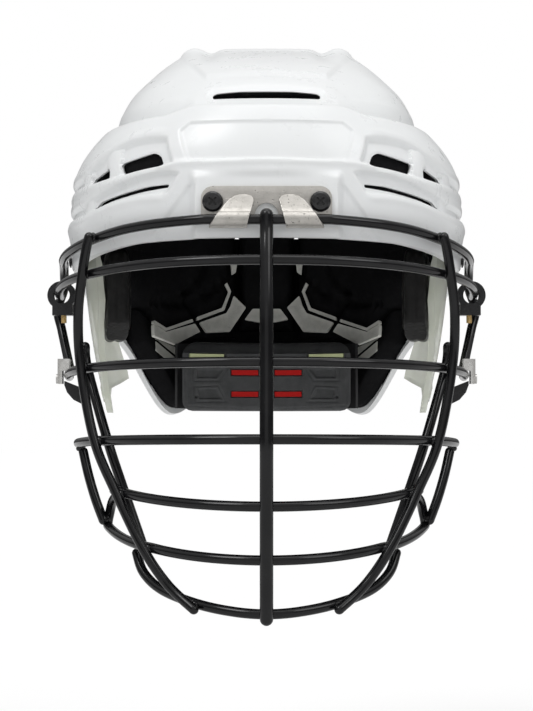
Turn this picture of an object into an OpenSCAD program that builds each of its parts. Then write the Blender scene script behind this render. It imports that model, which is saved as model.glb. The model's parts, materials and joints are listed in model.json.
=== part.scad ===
// Two-part sport helmet with a hinged mask of welded wire.
// The wearer faces -Y. The origin is in the plane of symmetry, between the ear canals.

/* [Shell] */
// Half width of the shell at the brow
shell_half_w = 104; // [100:1:108]
// Reach of the shell in front of its front pole
shell_reach = 124; // [120:1:128]
// Reach of the shell behind its rear pole
shell_back = 100; // [94:1:106]
// Length of the straight stretch over the crown, between the two poles
crown_run = 45; // [42:1:52]
// Wall of both shells
wall = 2.4; // [2.2:0.1:3]
// How far the brow band stands proud of the crown
band_rise = 2.2; // [1.5:0.1:2.6]
// Height of the brow edge at the centre
brow_z = 31; // [28:1:33]
// Clearance between the two shells where they telescope
shell_gap = 0.6; // [0.4:0.1:1]

/* [Mask] */
// Diameter of the centre bar
centre_bar_d = 6.6; // [6:0.1:7]
// Diameter of all other wires
wire_d = 5; // [4.6:0.1:5.2]
// Depth that two welded wires share
weld = 0.5; // [0.3:0.1:0.8]
// Height of the hinge axis, which is the top wire's straight stretch
hinge_z = 39; // [38:0.5:40]
// Half length of the top wire's straight stretch
hinge_half = 31; // [30:1:33]

/* [Hinge clip] */
// Thickness of the clip's steel
clip_t = 1.5; // [1.2:0.1:1.6]
// Width of the clip plate
clip_w = 64.5; // [62:0.5:68]
// Height of the clip plate
clip_h = 15; // [14:0.5:16]
// Radial clearance of the wire in its hooks
hinge_gap = 0.3; // [0.25:0.05:0.4]
// Distance between the two clip screws
clip_screw_pitch = 53; // [50:0.5:54]
// Shank diameter of the clip screws
clip_screw_d = 4; // [3.5:0.1:4.2]

/* [Foam] */
// Depth of the forehead pad
forehead_t = 13; // [10:1:15]
// Depth of the front side pads
side_t = 17; // [12:1:18]
// Depth of the rear pads
rear_t = 20; // [16:1:22]
// Depth of the crown pads
crown_t = 11; // [8:1:13]

/* [Ear guards] */
// Thickness of an ear guard
guard_t = 2.4; // [2:0.1:2.6]
// Diameter of the strap hole in an ear guard
strap_hole_d = 4; // [3:0.1:5]

/* [Occipital pad] */
// Radius of the pad's face, which meets the back of the head
nape_r = 80; // [76:1:82]
// Depth of the occipital pad
nape_t = 13; // [10:1:14]
// Height of the occipital pad
nape_h = 43; // [38:1:44]
// Half angle that the pad spans round the head
nape_half = 38; // [34:1:39]
// How far the pad slides down from its highest place
nape_travel = 10; // [6:1:10]

/* [Adjustment] */
// How far the rear shell slides back
size_travel = 12; // [8:1:12]
// Shank diameter of the size screws
size_screw_d = 4; // [3.5:0.1:4.2]

/* [Hidden] */
$fn = 48;

white = [0.93, 0.94, 0.94];
black = [0.06, 0.06, 0.07];
foam_black = [0.1, 0.1, 0.11];
steel = [0.6, 0.58, 0.55];
clear = [0.88, 0.9, 0.8, 0.6];
contact = 0.3;           // clearance between pieces that touch across a joint or a curve
front_pole = 5;          // depth of the front pole of the crown
rear_pole = front_pole + crown_run;
seam_y = rear_pole - 2.6;  // rear edge of the front shell
tongue_y = front_pole + 10; // front edge of the rear shell's tongue
side_z = 22;             // edge of the front shell beside the ears
boss_half = 36;          // half width of the flat boss behind the hinge clip
boss_y = front_pole - shell_reach - band_rise + 1.5;
clip_back_y = boss_y;
clip_front_y = clip_back_y - clip_t;
wire_r = wire_d / 2;
bar_r = centre_bar_d / 2;
hook_r = wire_r + hinge_gap;
hinge_y = clip_front_y - hook_r;

// General functions
function lerp(a, b, t) = a + (b - a) * t;
function unit(v) = v / max(norm(v), 1e-9);
function flip_x(p) = [for (q = p) [-q[0], q[1], q[2]]];
function spline(p, t) = let (
    n = len(p) - 1,
    s = min(max(t, 0), 0.99999) * n,
    i = floor(s),
    f = s - i,
    a = p[max(i - 1, 0)],
    b = p[i],
    c = p[i + 1],
    d = p[min(i + 2, n)])
  0.5 * (2 * b + (c - a) * f + (2 * a - 5 * b + 4 * c - d) * f * f + (3 * b - a - 3 * c + d) * f * f * f);
function smooth_path(p, count) = [for (i = [0:count]) spline(p, i / count)];

// Crown outline: half width, front reach, rear reach and height of each level
crown_levels = [
  [0, 0, 0, 147], [24, 3, 20, 147], [42, 8, 34, 146.2], [47.6, 17, 44, 143], [56.7, 42, 57, 135.5],
  [65.5, 66, 67, 126.5], [74.6, 87, 76, 116], [80.5, 101.5, 82, 105], [82.5, 106.5, 84, 101.5]];
band_levels = [99, 90, 84, 79.3, 73.3, 66, 60.8, 57.8, 46];
crown_count = len(crown_levels);
fixed_count = crown_count + len(band_levels);
rim_rows = 3;
row_count = fixed_count + rim_rows - 1;

// Half width and reaches of the level at height z, below the crown
function level_w(z) = shell_half_w * (1 - pow(max(z - 62, 0) / 78, 2))
  + 2 * exp(-pow((z - 44) / 8, 2)) - 0.3 * max(8 - z, 0);
function level_front(z) = shell_reach * sqrt(1 - pow(max(z - 60, 0) / 90, 2));
function level_back(z) = shell_back * sqrt(1 - pow(max(z - 60, 0) / 90, 2)) - 0.13 * max(20 - z, 0);
function level_at(z) = [level_w(z), level_front(z), level_back(z), z];
function fixed_level(j) = j < crown_count ? crown_levels[j] : level_at(band_levels[j - crown_count]);
function brow_edge(s) = let (a = abs(s)) lookup(a, [[0, brow_z], [0.4, brow_z - 1.5], [0.62, brow_z - 5],
  [0.78, side_z + 1], [0.9, side_z], [2, side_z + 2]]);
function nape_edge(s) = let (a = abs(s)) lookup(a, [[0, -44], [0.28, -46], [0.42, -54], [0.49, -52],
  [0.56, -38], [0.62, -19], [0.7, -8], [0.82, 2], [0.93, 14], [1.02, 27], [2, 27]]);
function edge_level(s, j, rear) = let (
    z0 = band_levels[len(band_levels) - 1],
    z = lerp(z0, rear ? nape_edge(s) : brow_edge(s), (j - fixed_count + 1) / rim_rows))
  level_at(z);
// The ledge between crown and band lies lower at the sides than over the forehead
ledge_drop = 4.2;
function ledge_of(s, rear) = rear ? ledge_drop : ledge_drop * min(max((abs(s) - 0.25) / 0.11, 0), 1);
function level_of(s, j, rear) =
  j == crown_count - 1 ? crown_levels[j] - [0, 0, 0, ledge_of(s, rear)]
    : j == crown_count ? level_at(band_levels[0] - ledge_of(s, rear))
    : j < fixed_count ? fixed_level(j) : edge_level(s, j, rear);

// A point of the shell's outer form. s runs from side to side, 0 at the centre and 1 at the pole's width.
function form_point(l, s, rear) = let (
    a = min(abs(s), 1) * 90,
    e = 2 / 2.35,
    x = l[0] * pow(sin(a), e) * sign(s),
    run = max(abs(s) - 1, 0) * 50)
  rear
    ? [-x, rear_pole + l[2] * pow(cos(a), e) - run, l[3]]
    : [x, front_pole - l[1] * pow(cos(a), e) + run, l[3]];

front_half = [0, 0.085, 0.17, 0.235, 0.295, 0.36, 0.42, 0.475, 0.54, 0.6, 0.66, 0.73, 0.8, 0.9, 1, 1.2,
  1 + (seam_y - front_pole) / 100 + 0.1, 1 + (seam_y - front_pole) / 50];
rear_half = [0, 0.12, 0.24, 0.36, 0.48, 0.6, 0.72, 0.84, 0.94, 1.03, 1.04, 1.05,
  1 + (rear_pole - tongue_y) / 100, 1 + (rear_pole - tongue_y) / 50];
function both_sides(h) = concat([for (i = [len(h) - 1:-1:1]) -h[i]], h);
front_cols = both_sides(front_half);
rear_cols = both_sides(rear_half);

// How far each row of the front shell stands proud, beside the forehead and at its centre
band_side = [2.4, 2.6, 2, -0.6, -0.4, 2.6, 0.4, 0.6, 2];
function proud(j, s) = j < crown_count ? 0
  : let (k = j - crown_count, side = abs(s) > 0.26 && abs(s) < 1.1)
    k >= len(band_side) || !side ? band_rise : band_side[k] * band_rise / 2.4;
// How deep the rear shell's outside lies: proud of the crown at its band, and under the front shell at its tongue
function rear_depth(j, s) = abs(s) > 1.035 ? wall + shell_gap : j < crown_count ? 0 : -band_rise;

function grid(cols, rear) = [for (j = [0:row_count]) [for (s = cols) form_point(level_of(s, j, rear), s, rear)]];
function grid_normals(g) = let (m = len(g) - 1, n = len(g[0]) - 1)
  [for (j = [0:m]) [for (k = [0:n])
    j == 0 ? [0, 0, 1]
      : let (down = g[min(j + 1, m)][k] - g[max(j - 1, 0)][k],
             across = g[j][min(k + 1, n)] - g[j][max(k - 1, 0)])
        unit(cross(down, across))]];

// A skin between two grids of points. keep holds which cells are solid, and fold closes the first row.
module skin(outer, inner, keep, fold) {
  rows = len(outer) - 1;
  cols = len(outer[0]) - 1;
  count = (rows + 1) * (cols + 1);
  function id(j, k) = j == 0 && fold >= 0 ? min(k, fold, cols - k) : j * (cols + 1) + k;
  function solid(j, k) = j >= 0 && k >= 0 && j < rows && k < cols && keep[j][k];
  function wall_at(j, k, p, q) = solid(j, k) ? []
    : p == q ? [] : [[p, q, q + count], [p, q + count, p + count]];
  function half_faces(a, b, c, d) = concat(a == b ? [] : [[a, b, c]], [[a, c, d]]);
  faces = [for (j = [0:rows - 1]) for (k = [0:cols - 1]) if (keep[j][k])
    let (a = id(j, k), b = id(j, k + 1), c = id(j + 1, k + 1), d = id(j + 1, k))
    each concat(
      half_faces(a, b, c, d),
      [for (f = half_faces(a, b, c, d)) [f[0] + count, f[2] + count, f[1] + count]],
      wall_at(j + 1, k, d, c),
      j == 0 && fold >= 0 ? [] : wall_at(j - 1, k, b, a),
      wall_at(j, k - 1, a, d),
      wall_at(j, k + 1, c, b))];
  polyhedron(points = concat([for (r = outer) each r], [for (r = inner) each r]), faces = faces, convexity = 8);
}

// Boss behind the hinge clip: the shell's front is brought out to a flat face, and its inside is flat too
boss_t = 5;
function with_boss(p, j, y = boss_y) = j >= fixed_count - 4 && abs(p[0]) < boss_half ? [p[0], y, p[2]] : p;

// Vents of the front shell, as the cells between its columns and rows
function in_span(s0, s1, a, b) = min(abs(s0), abs(s1)) > a - 0.001 && max(abs(s0), abs(s1)) < b + 0.001;
function front_vent(j, k) = let (s0 = front_cols[k], s1 = front_cols[k + 1], t = j - crown_count)
  (t == 3 && (in_span(s0, s1, 0.295, 0.475) || in_span(s0, s1, 0.54, 0.66)))
  || (t == 6 && in_span(s0, s1, 0.295, 0.66))
  || (j == crown_count - 2 && in_span(s0, s1, 0, 0.17));

function rear_vent(j, k) = let (s0 = rear_cols[k], s1 = rear_cols[k + 1], t = j - crown_count)
  (t == 3 && (in_span(s0, s1, 0.12, 0.36) || in_span(s0, s1, 0.48, 0.72)))
  || (t == 6 && in_span(s0, s1, 0.12, 0.6));

module front_form() {
  base = grid(front_cols, false);
  normals = grid_normals(base);
  n = len(front_cols) - 1;
  outer = [for (j = [0:row_count]) [for (k = [0:n])
    with_boss(base[j][k] + proud(j, front_cols[k]) * normals[j][k], j)]];
  inner = [for (j = [0:row_count]) [for (k = [0:n])
    with_boss(base[j][k] - wall * normals[j][k], j, boss_y + boss_t)]];
  keep = [for (j = [0:row_count - 1]) [for (k = [0:n - 1]) !front_vent(j, k)]];
  pole = [for (k = [0:n]) if (front_cols[k] < -1) 1];
  skin(outer, inner, keep, len(pole));
}

// Screws that pass through the shells
clip_screw_z = 48;
guard_screw_y = [-14, 7];
guard_screw_z = 28;
size_screw_y = 26;
size_screw_z = [40, 59];
hole_gap = 0.2;
drill_x = shell_half_w - 14; // side holes are drilled outwards from here
drill_l = 30;
clip_nut_r = 6;
spot_face = 0.2;         // depth of the flat seats behind the boss that the clip's nuts lie on

module front_shell() {
  slot_r = size_screw_d / 2 + hole_gap;
  color(white) difference() {
    front_form();
    for (x = [-1, 1]) {
      translate([x * clip_screw_pitch / 2, boss_y - 1, clip_screw_z])
        rotate([-90, 0, 0]) cylinder(r = clip_screw_d / 2 + hole_gap, h = 30);
      translate([x * clip_screw_pitch / 2, boss_y + boss_t - spot_face, clip_screw_z])
        rotate([-90, 0, 0]) cylinder(r = clip_nut_r + 2 * hole_gap, h = 12);
      for (z = size_screw_z)
        translate([x * drill_x, 0, z]) {
          for (y = [size_screw_y, size_screw_y + size_travel])
            translate([0, y, 0]) rotate([0, x * 90, 0]) cylinder(r = slot_r, h = drill_l);
          translate([x > 0 ? 0 : -drill_l, size_screw_y, -slot_r]) cube([drill_l, size_travel, 2 * slot_r]);
        }
      for (y = guard_screw_y)
        translate([x * drill_x, y, guard_screw_z])
          rotate([0, x * 90, 0]) cylinder(r = screw_r + hole_gap, h = drill_l);
    }
  }
}

module rear_shell() {
  base = grid(rear_cols, true);
  normals = grid_normals(base);
  n = len(rear_cols) - 1;
  outer = [for (j = [0:row_count]) [for (k = [0:n]) base[j][k] - rear_depth(j, rear_cols[k]) * normals[j][k]]];
  inner = [for (j = [0:row_count]) [for (k = [0:n])
    base[j][k] - (max(rear_depth(j, rear_cols[k]), 0) + wall) * normals[j][k]]];
  keep = [for (j = [0:row_count - 1]) [for (k = [0:n - 1]) !rear_vent(j, k)]];
  pole = [for (k = [0:n]) if (rear_cols[k] < -1) 1];
  color(white) difference() {
    skin(outer, inner, keep, len(pole));
    for (x = [-1, 1]) for (z = size_screw_z)
      translate([x * drill_x, size_screw_y, z])
        rotate([0, x * 90, 0]) cylinder(r = size_screw_d / 2 + hole_gap, h = drill_l);
  }
}

// Screws with a domed head and a crossed slot, drawn with the head up and the shank down
screw_r = 1.75;
module cross_screw(head_r, head_h, shank_r, shank_l) {
  difference() {
    union() {
      rotate_extrude() polygon([[0, 0], [head_r, 0], [head_r, head_h * 0.45], [head_r * 0.8, head_h * 0.85],
        [head_r * 0.45, head_h], [0, head_h]]);
      translate([0, 0, -shank_l]) cylinder(r = shank_r, h = shank_l + 0.1);
    }
    for (a = [0, 90]) rotate([0, 0, a])
      translate([-head_r * 0.5, -head_r * 0.1, head_h * 0.35]) cube([head_r, head_r * 0.2, head_h]);
  }
}

module clip_screws() {
  color(black) for (x = [-1, 1])
    translate([x * clip_screw_pitch / 2, clip_front_y, clip_screw_z]) rotate([90, 45, 0])
      cross_screw(5.1, 2.6, clip_screw_d / 2, clip_t + boss_t + contact + nut_t);
}

nut_t = 1.6;
module nut_ring(r, bore, h) {
  difference() {
    cylinder(r = r, h = h);
    translate([0, 0, -1]) cylinder(r = bore, h = h + 2);
  }
}
module clip_nuts() {
  color(steel) for (x = [-1, 1])
    translate([x * clip_screw_pitch / 2, boss_y + boss_t - spot_face + contact, clip_screw_z]) rotate([-90, 0, 0])
      nut_ring(clip_nut_r, clip_screw_d / 2 + 0.05, nut_t);
}

// Hinge clip: a plate with two hooks that go over the top wire
tab_top_z = 51;
tab_side = [[5.4, tab_top_z], [17, tab_top_z], [29.5, hinge_z - 5.5], [10.3, hinge_z - 5.5]];
notch_r = bar_r + 2.6;
plate_bottom_z = hinge_z + 1.8;
module hook_profile() {
  out_r = hook_r + clip_t;
  difference() {
    circle(r = out_r);
    circle(r = hook_r);
    translate([0, -0.01]) square([out_r + 1, out_r + 1]);
    rotate(-42) square([out_r + 1, out_r + 1]);
  }
  translate([0, hook_r]) square([0.02, clip_t]);
  polygon([[-0.6, hook_r], [-0.6, out_r - 0.05], [hook_r - 0.2, tab_top_z - hinge_z],
    [hook_r + 0.2, tab_top_z - hinge_z], [hook_r + 0.2, tab_top_z - hinge_z - 2.4]]);
}
module hinge_clip() {
  top = plate_bottom_z + clip_h;
  color(steel) difference() {
    union() {
      translate([0, clip_back_y, 0]) rotate([90, 0, 0]) linear_extrude(clip_t)
        difference() {
          translate([-clip_w / 2, plate_bottom_z]) square([clip_w, clip_h - 6]);
          translate([0, plate_bottom_z]) circle(r = notch_r);
        }
      translate([0, clip_back_y, 0]) rotate([90, 0, 0]) linear_extrude(clip_t)
        translate([-clip_w / 2 + 6, top - 6.01]) square([clip_w - 12, 6.01]);
      for (x = [-1, 1]) translate([x * (clip_w / 2 - 6), clip_back_y, top - 6]) rotate([90, 0, 0])
        cylinder(r = 6, h = clip_t);
      for (x = [0, 1]) mirror([x, 0, 0]) intersection() {
        translate([4, hinge_y, hinge_z]) rotate([90, 0, 90]) linear_extrude(28) hook_profile();
        translate([0, clip_back_y, 0]) rotate([90, 0, 0]) linear_extrude(30) polygon(tab_side);
      }
    }
    for (x = [-1, 1])
      translate([x * clip_screw_pitch / 2, clip_back_y + 1, clip_screw_z]) rotate([90, 0, 0])
        cylinder(r = clip_screw_d / 2 + hole_gap, h = 4);
  }
}

// Pads: patches that lie on the inside of a shell, cell by cell, with a crowned face and drawn-in sides
function crown_of(t) = 1 - pow(2 * t - 1, 4);
function on_grid(g, j, k) = let (
    a = min(floor(j), len(g) - 2),
    b = min(floor(k), len(g[0]) - 2))
  lerp(lerp(g[a][b], g[a][b + 1], k - b), lerp(g[a + 1][b], g[a + 1][b + 1], k - b), j - a);
module pad(rear, k0, k1, j0, j1, near, far, cut = 1, fold = -1) {
  base = grid(rear ? rear_cols : front_cols, rear);
  normals = grid_normals(base);
  mid = len(rear ? rear_half : front_half) - 1;
  nk = round((k1 - k0) * cut);
  nj = round((j1 - j0) * cut);
  function behind_boss(p, j) = !rear && j >= fixed_count - 6 && abs(p[0]) < boss_half + 6
    ? [p[0], max(p[1], boss_y + boss_t + contact), p[2]] : p;
  function at(j, k, depth) = let (row = lerp(j0, j1, j / nj), col = mid + lerp(k0, k1, k / nk))
    behind_boss(on_grid(base, row, col) - depth * unit(on_grid(normals, row, col)), row);
  outer = [for (j = [0:nj]) [for (k = [0:nk]) at(j, k, near)]];
  inner = [for (j = [0:nj]) [for (k = [0:nk]) let (row = fold >= 0 ? 1 - pow(j / nj, 5) : crown_of(j / nj))
    at(j, k, near + (far - near) * (0.6 + 0.4 * row * crown_of(k / nk)))]];
  skin(outer, inner, [for (j = [0:nj - 1]) [for (k = [0:nk - 1]) true]], fold);
}
pad_near = wall + contact;
rear_near = pad_near + 0.5;
forehead_near = pad_near + 0.3;
nut_pocket_r = 7;

module forehead_pad() {
  color(foam_black) difference() {
    pad(false, -8, 8, crown_count, fixed_count, forehead_near, pad_near + forehead_t);
    for (x = [-1, 1]) translate([x * clip_screw_pitch / 2, boss_y + boss_t - 2, clip_screw_z]) rotate([-90, 0, 0])
      cylinder(r = nut_pocket_r, h = 2 + 2 * contact + nut_t + 0.4);
  }
}
module crown_pad_front() {
  color(foam_black) pad(false, -13, 13, 0, crown_count - 3, pad_near, pad_near + crown_t, 1, 0);
}
module side_pad(m) {
  color(foam_black) mirror([m, 0, 0]) pad(false, 9, 14, crown_count, fixed_count - 0.6, pad_near, pad_near + side_t, 2.5);
}
module side_pad_left() { side_pad(0); }
module side_pad_right() { side_pad(1); }
module crown_pad_rear() {
  color(foam_black) pad(true, -8, 8, 0, crown_count - 3, rear_near, rear_near + crown_t, 1, 0);
}
module centre_patch(t) { pad(true, mid_k[0], mid_k[1], mid_j[0], mid_j[1], rear_near, rear_near + t, 3); }
module rear_patch(t) { pad(true, side_k[0], side_k[1], side_j[0], side_j[1], rear_near, rear_near + t, 1.4); }
module low_patch(t) { pad(true, low_k[0], low_k[1], low_j[0], low_j[1], rear_near, rear_near + t, 4); }
low_rear_t = 14;
module rear_pad_centre() { color(foam_black) centre_patch(rear_t); }
module rear_pad(m) { color(foam_black) mirror([m, 0, 0]) rear_patch(rear_t); }
module rear_pad_left() { rear_pad(0); }
module rear_pad_right() { rear_pad(1); }
module nape_side_pad(m) { color(foam_black) mirror([m, 0, 0]) low_patch(low_rear_t); }
module nape_pad_left() { nape_side_pad(0); }
module nape_pad_right() { nape_side_pad(1); }

// Grey panels that lie on the rear pads' faces; each follows the crowned face of the pad under it
panel_t = 1.2;
panel_gap = 0.9;
side_k = [-7.5, -0.8];
side_j = [crown_count, row_count - 1.25];
low_k = [-5.4, -3];
low_j = [row_count - 1.15, row_count - 0.1];
mid_k = [-0.6, 0.6];
mid_j = [crown_count, row_count - 1.4];
module panel(k, j, pad_k, pad_j, t, cut = 4) {
  base = grid(rear_cols, true);
  normals = grid_normals(base);
  mid = len(rear_half) - 1;
  nk = round((k[1] - k[0]) * cut);
  nj = round((j[1] - j[0]) * cut);
  function face(row, col) = rear_near + t * (0.6 + 0.4 * crown_of((row - pad_j[0]) / (pad_j[1] - pad_j[0]))
    * crown_of((col - pad_k[0]) / (pad_k[1] - pad_k[0])));
  function at(a, b, lift) = let (row = lerp(j[0], j[1], a / nj), col = lerp(k[0], k[1], b / nk))
    on_grid(base, row, mid + col) - (face(row, col) + lift) * unit(on_grid(normals, row, mid + col));
  skin([for (a = [0:nj]) [for (b = [0:nk]) at(a, b, panel_gap)]],
    [for (a = [0:nj]) [for (b = [0:nk]) at(a, b, panel_gap + panel_t)]], [for (a = [1:nj]) [for (b = [1:nk]) true]], -1);
}
module rear_pad_panels() {
  color("silver") {
    for (m = [0, 1]) mirror([m, 0, 0]) {
      panel([-2.35, -1], [row_count - 2.05, row_count - 1.4], side_k, side_j, rear_t);
      panel([-5, -2.6], [row_count - 1.6, row_count - 1.3], side_k, side_j, rear_t, 6);
      panel([-5, -4], [row_count - 1.05, row_count - 0.5], low_k, low_j, low_rear_t);
    }
    panel([-0.5, 0.5], [row_count - 1.8, row_count - 1.5], mid_k, mid_j, rear_t, 6);
  }
}

// Temple pads: cushions beside the temples, below the side pads
module cushion(w, h, t, n = 8) {
  function u(k) = 2 * k / n - 1;
  function round_in(a, b) = a * sqrt(1 - 0.16 * b * b);
  function full(a, b) = 0.55 + 0.45 * (1 - pow(a, 6)) * (1 - pow(b, 6));
  face = [for (j = [0:n]) [for (k = [0:n])
    [w / 2 * round_in(u(k), u(j)), -t / 2 * full(u(k), u(j)), -h / 2 * round_in(u(j), u(k))]]];
  back = [for (r = face) [for (p = r) [p[0], -p[1], p[2]]]];
  skin(face, back, [for (j = [1:n]) [for (k = [1:n]) true]], -1);
}
temple_t = 15;
temple_x = shell_half_w - temple_t / 2 - 14.5;
module temple_pad(m) {
  color(foam_black) mirror([m, 0, 0]) translate([temple_x, -12, 9.5]) rotate([0, 0, 82]) cushion(40, 50, temple_t);
}
// Round fittings between the temple pads and the ear guards
mount_y = -13;
mount_z = 12;
module temple_mounts() {
  reach = temple_x + temple_t / 2 + contact + 0.6;
  color("gray") for (m = [0, 1]) mirror([m, 0, 0]) translate([reach, mount_y, mount_z]) rotate([0, 90, 0])
    cylinder(r = 5.5, h = guard_x(mount_y - 5.5, mount_z - 5.5) - guard_t - contact - reach);
}
module temple_pad_left() { temple_pad(0); }
module temple_pad_right() { temple_pad(1); }

// Ear guards: clear plates that hang inside the front shell's edge
guard_top = 33;
guard_y = [-30, -22, -14, -6, 2, 10, 18, 26, 34];
guard_drop = [6, -14, -36, -50, -54, -47, -40, -38, -34];
function guard_x(y, z) = shell_half_w - wall - contact - 0.4 - 0.05 * (guard_top - z)
  - 0.0012 * pow(guard_top - z, 2) - 0.008 * pow(max(y - 10, 0), 2) * (1 + 1.4 * min(max((20 - z) / 50, 0), 1))
  - 0.009 * pow(max(2 - y, 0), 2);
module guard_form(m) {
  rows = 8;
  function height(k, j) = let (y = guard_y[k], top = y > 10 ? side_z - 2 : guard_top)
    lerp(top, guard_drop[k], j / rows);
  out = [for (j = [0:rows]) [for (k = [0:len(guard_y) - 1])
    let (y = guard_y[k], z = height(k, j)) [guard_x(y, z), y, z]]];
  inner = [for (r = out) [for (p = r) [p[0] - guard_t, p[1], p[2]]]];
  keep = [for (j = [0:rows - 1]) [for (k = [0:len(guard_y) - 2]) !(j > 1 && j < 5 && k > 3 && k < 6)]];
  mirror([m, 0, 0]) skin(out, inner, keep, -1);
}
strap_hole_y = 1;
strap_hole_z = -44;
strap_eye_l = guard_t + 1.4;
module ear_guard(m) {
  x = m == 0 ? 1 : -1;
  color(clear) difference() {
    union() {
      guard_form(m);
      translate([x * (guard_x(strap_hole_y, strap_hole_z) - guard_t / 2), strap_hole_y, strap_hole_z])
        rotate([0, 90, 0]) cylinder(d = strap_hole_d + 5, h = strap_eye_l, center = true);
    }
    for (y = guard_screw_y)
      translate([x * drill_x, y, guard_screw_z]) rotate([0, x * 90, 0])
        cylinder(r = screw_r + hole_gap, h = drill_l);
    translate([x * (drill_x - 10), strap_hole_y, strap_hole_z]) rotate([0, x * 90, 0])
      cylinder(d = strap_hole_d, h = drill_l);
  }
}
module ear_guard_left() { ear_guard(0); }
module ear_guard_right() { ear_guard(1); }
module guard_screws(m) {
  x = side_out(guard_screw_z, 3.6);
  color(black) mirror([m, 0, 0]) for (y = guard_screw_y)
    translate([x - (y < front_pole ? 0.4 : 0), y, guard_screw_z]) rotate([0, 90, 0]) cross_screw(3.4, 1, screw_r, 11.5);
}
module guard_screws_left() { guard_screws(0); }
module guard_screws_right() { guard_screws(1); }

// Snap studs that hold the mask's strap loops against the shell
function side_out(z, r) = max(level_w(z - r), level_w(z), level_w(z + r)) + band_rise + contact;
module snap_stud(m) {
  color(steel) mirror([m, 0, 0]) translate([side_out(31, 5), 20, 31]) rotate([0, 90, 0])
    rotate_extrude() polygon([[0, 0], [5, 0], [5, 0.8], [2.4, 1.2], [2.4, 2.2], [2.9, 2.8], [2.2, 3.6], [0, 3.6]]);
}
module snap_stud_left() { snap_stud(0); }
module snap_stud_right() { snap_stud(1); }

module size_screws(m) {
  color(black) mirror([m, 0, 0]) for (z = size_screw_z)
    translate([side_out(z, 4.4), size_screw_y, z]) rotate([0, 90, 0])
      cross_screw(4.4, 2, size_screw_d / 2, 15);
}
module size_nuts() {
  color(steel) for (m = [0, 1]) mirror([m, 0, 0]) for (z = size_screw_z)
    translate([min(level_w(z - 5), level_w(z + 5)) - 2 * wall - shell_gap - contact - 1.8, size_screw_y, z]) rotate([0, 90, 0])
      nut_ring(5, size_screw_d / 2 + 0.05, 1.6);
}
module guard_nuts() {
  color(steel) for (m = [0, 1]) mirror([m, 0, 0]) for (y = guard_screw_y)
    translate([guard_x(y + (y > 0 ? 4 : -4), guard_screw_z - 4) - guard_t - contact - 1.4, y, guard_screw_z]) rotate([0, 90, 0])
      nut_ring(4, screw_r + 0.05, 1.4);
}
module size_screws_left() { size_screws(0); }
module size_screws_right() { size_screws(1); }

// Occipital pad: a carrier that slides on a bracket, and a pad on its face
nape_room = 46; // from the pad's face to the back of the rear shell, at its widest
nape_y = rear_pole + shell_back - nape_room - nape_r;
nape_top = -9;
carrier_t = 2.6;
carrier_r = nape_r + nape_t + contact;
rib_w = 16;
module arc_band(r, t, half, h) {
  translate([0, nape_y, 0]) rotate([0, 0, 90 - half]) rotate_extrude(angle = 2 * half)
    translate([r, 0]) square([t, h]);
}
module nape_pad() {
  n = 12;
  m = 6;
  function at(r, a, z) = [r * sin(a), nape_y + r * cos(a), z];
  function ang(k) = nape_half * (1 - 2 * k / n);
  function lift(j, k) = crown_of(j / m) * crown_of(k / n);
  face = [for (j = [0:m]) [for (k = [0:n])
    at(nape_r + 4 - 4 * lift(j, k), -ang(k), nape_top - nape_h * j / m)]];
  back = [for (j = [0:m]) [for (k = [0:n]) at(nape_r + nape_t, -ang(k), nape_top - nape_h * j / m)]];
  color([0.3, 0.3, 0.31]) difference() {
    skin(face, back, [for (j = [1:m]) [for (k = [1:n]) true]], -1);
    insert_boxes(0.15);
    strip_boxes(0.15);
  }
}
insert_z = [-30, -43];
module insert_boxes(grow) {
  for (x = [-1, 1]) for (z = insert_z)
    translate([x * 13 - 8 - grow, nape_y + nape_r - 8, z - grow]) cube([16 + 2 * grow, 12 + grow, 3 + 2 * grow]);
}
strip_z = -19.7;
module strip_boxes(grow) {
  for (x = [-1, 1]) translate([0, nape_y, 0]) rotate([0, 0, x * 26.3])
    translate([-11.3 - grow, nape_r - 8, strip_z - grow]) cube([22.6 + 2 * grow, 14 + grow, 2.2 + 2 * grow]);
}
module nape_inserts() {
  color("red") intersection() {
    insert_boxes(0);
    translate([0, 0, nape_top - nape_h]) arc_band(nape_r + 0.4, 4, nape_half, nape_h);
  }
}
module nape_strips() {
  color([0.8, 0.85, 0.65]) intersection() {
    strip_boxes(0);
    translate([0, 0, nape_top - nape_h]) arc_band(nape_r + 1.2, 4, nape_half, nape_h);
  }
}
module nape_carrier() {
  rib_y = nape_y + carrier_r + carrier_t;
  color(black) {
    translate([0, 0, nape_top - nape_h + 2]) arc_band(carrier_r, carrier_t, nape_half - 3, nape_h - 4);
    translate([-rib_w / 2, rib_y - 1, nape_top - nape_h + 4]) cube([rib_w, 5, nape_h - 10]);
    translate([-rib_w / 2 - 3, rib_y + 4, nape_top - nape_h + 4]) cube([rib_w + 6, 3, nape_h - 10]);
  }
}
module nape_bracket() {
  y0 = nape_y + carrier_r + carrier_t + 1.4;
  z0 = nape_top - nape_h + 4;
  z1 = z0 + nape_h - 8;
  function back_y(z) = rear_pole + level_back(z) - wall - contact - 0.9;
  color(black) difference() {
    translate([-rib_w / 2 - 7, 0, 0]) rotate([90, 0, 90]) linear_extrude(rib_w + 14)
      polygon([[y0, z0], [back_y(z0), z0], [back_y(z1), z1], [y0, z1]]);
    translate([-rib_w / 2 - contact, y0 - 1, z0 - 1]) cube([rib_w + 2 * contact, 6, nape_h]);
    translate([-rib_w / 2 - 3 - contact, y0 + 2.6 - contact, z0 - 1]) cube([rib_w + 6 + 2 * contact, 3 + 2 * contact, nape_h]);
  }
}

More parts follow.
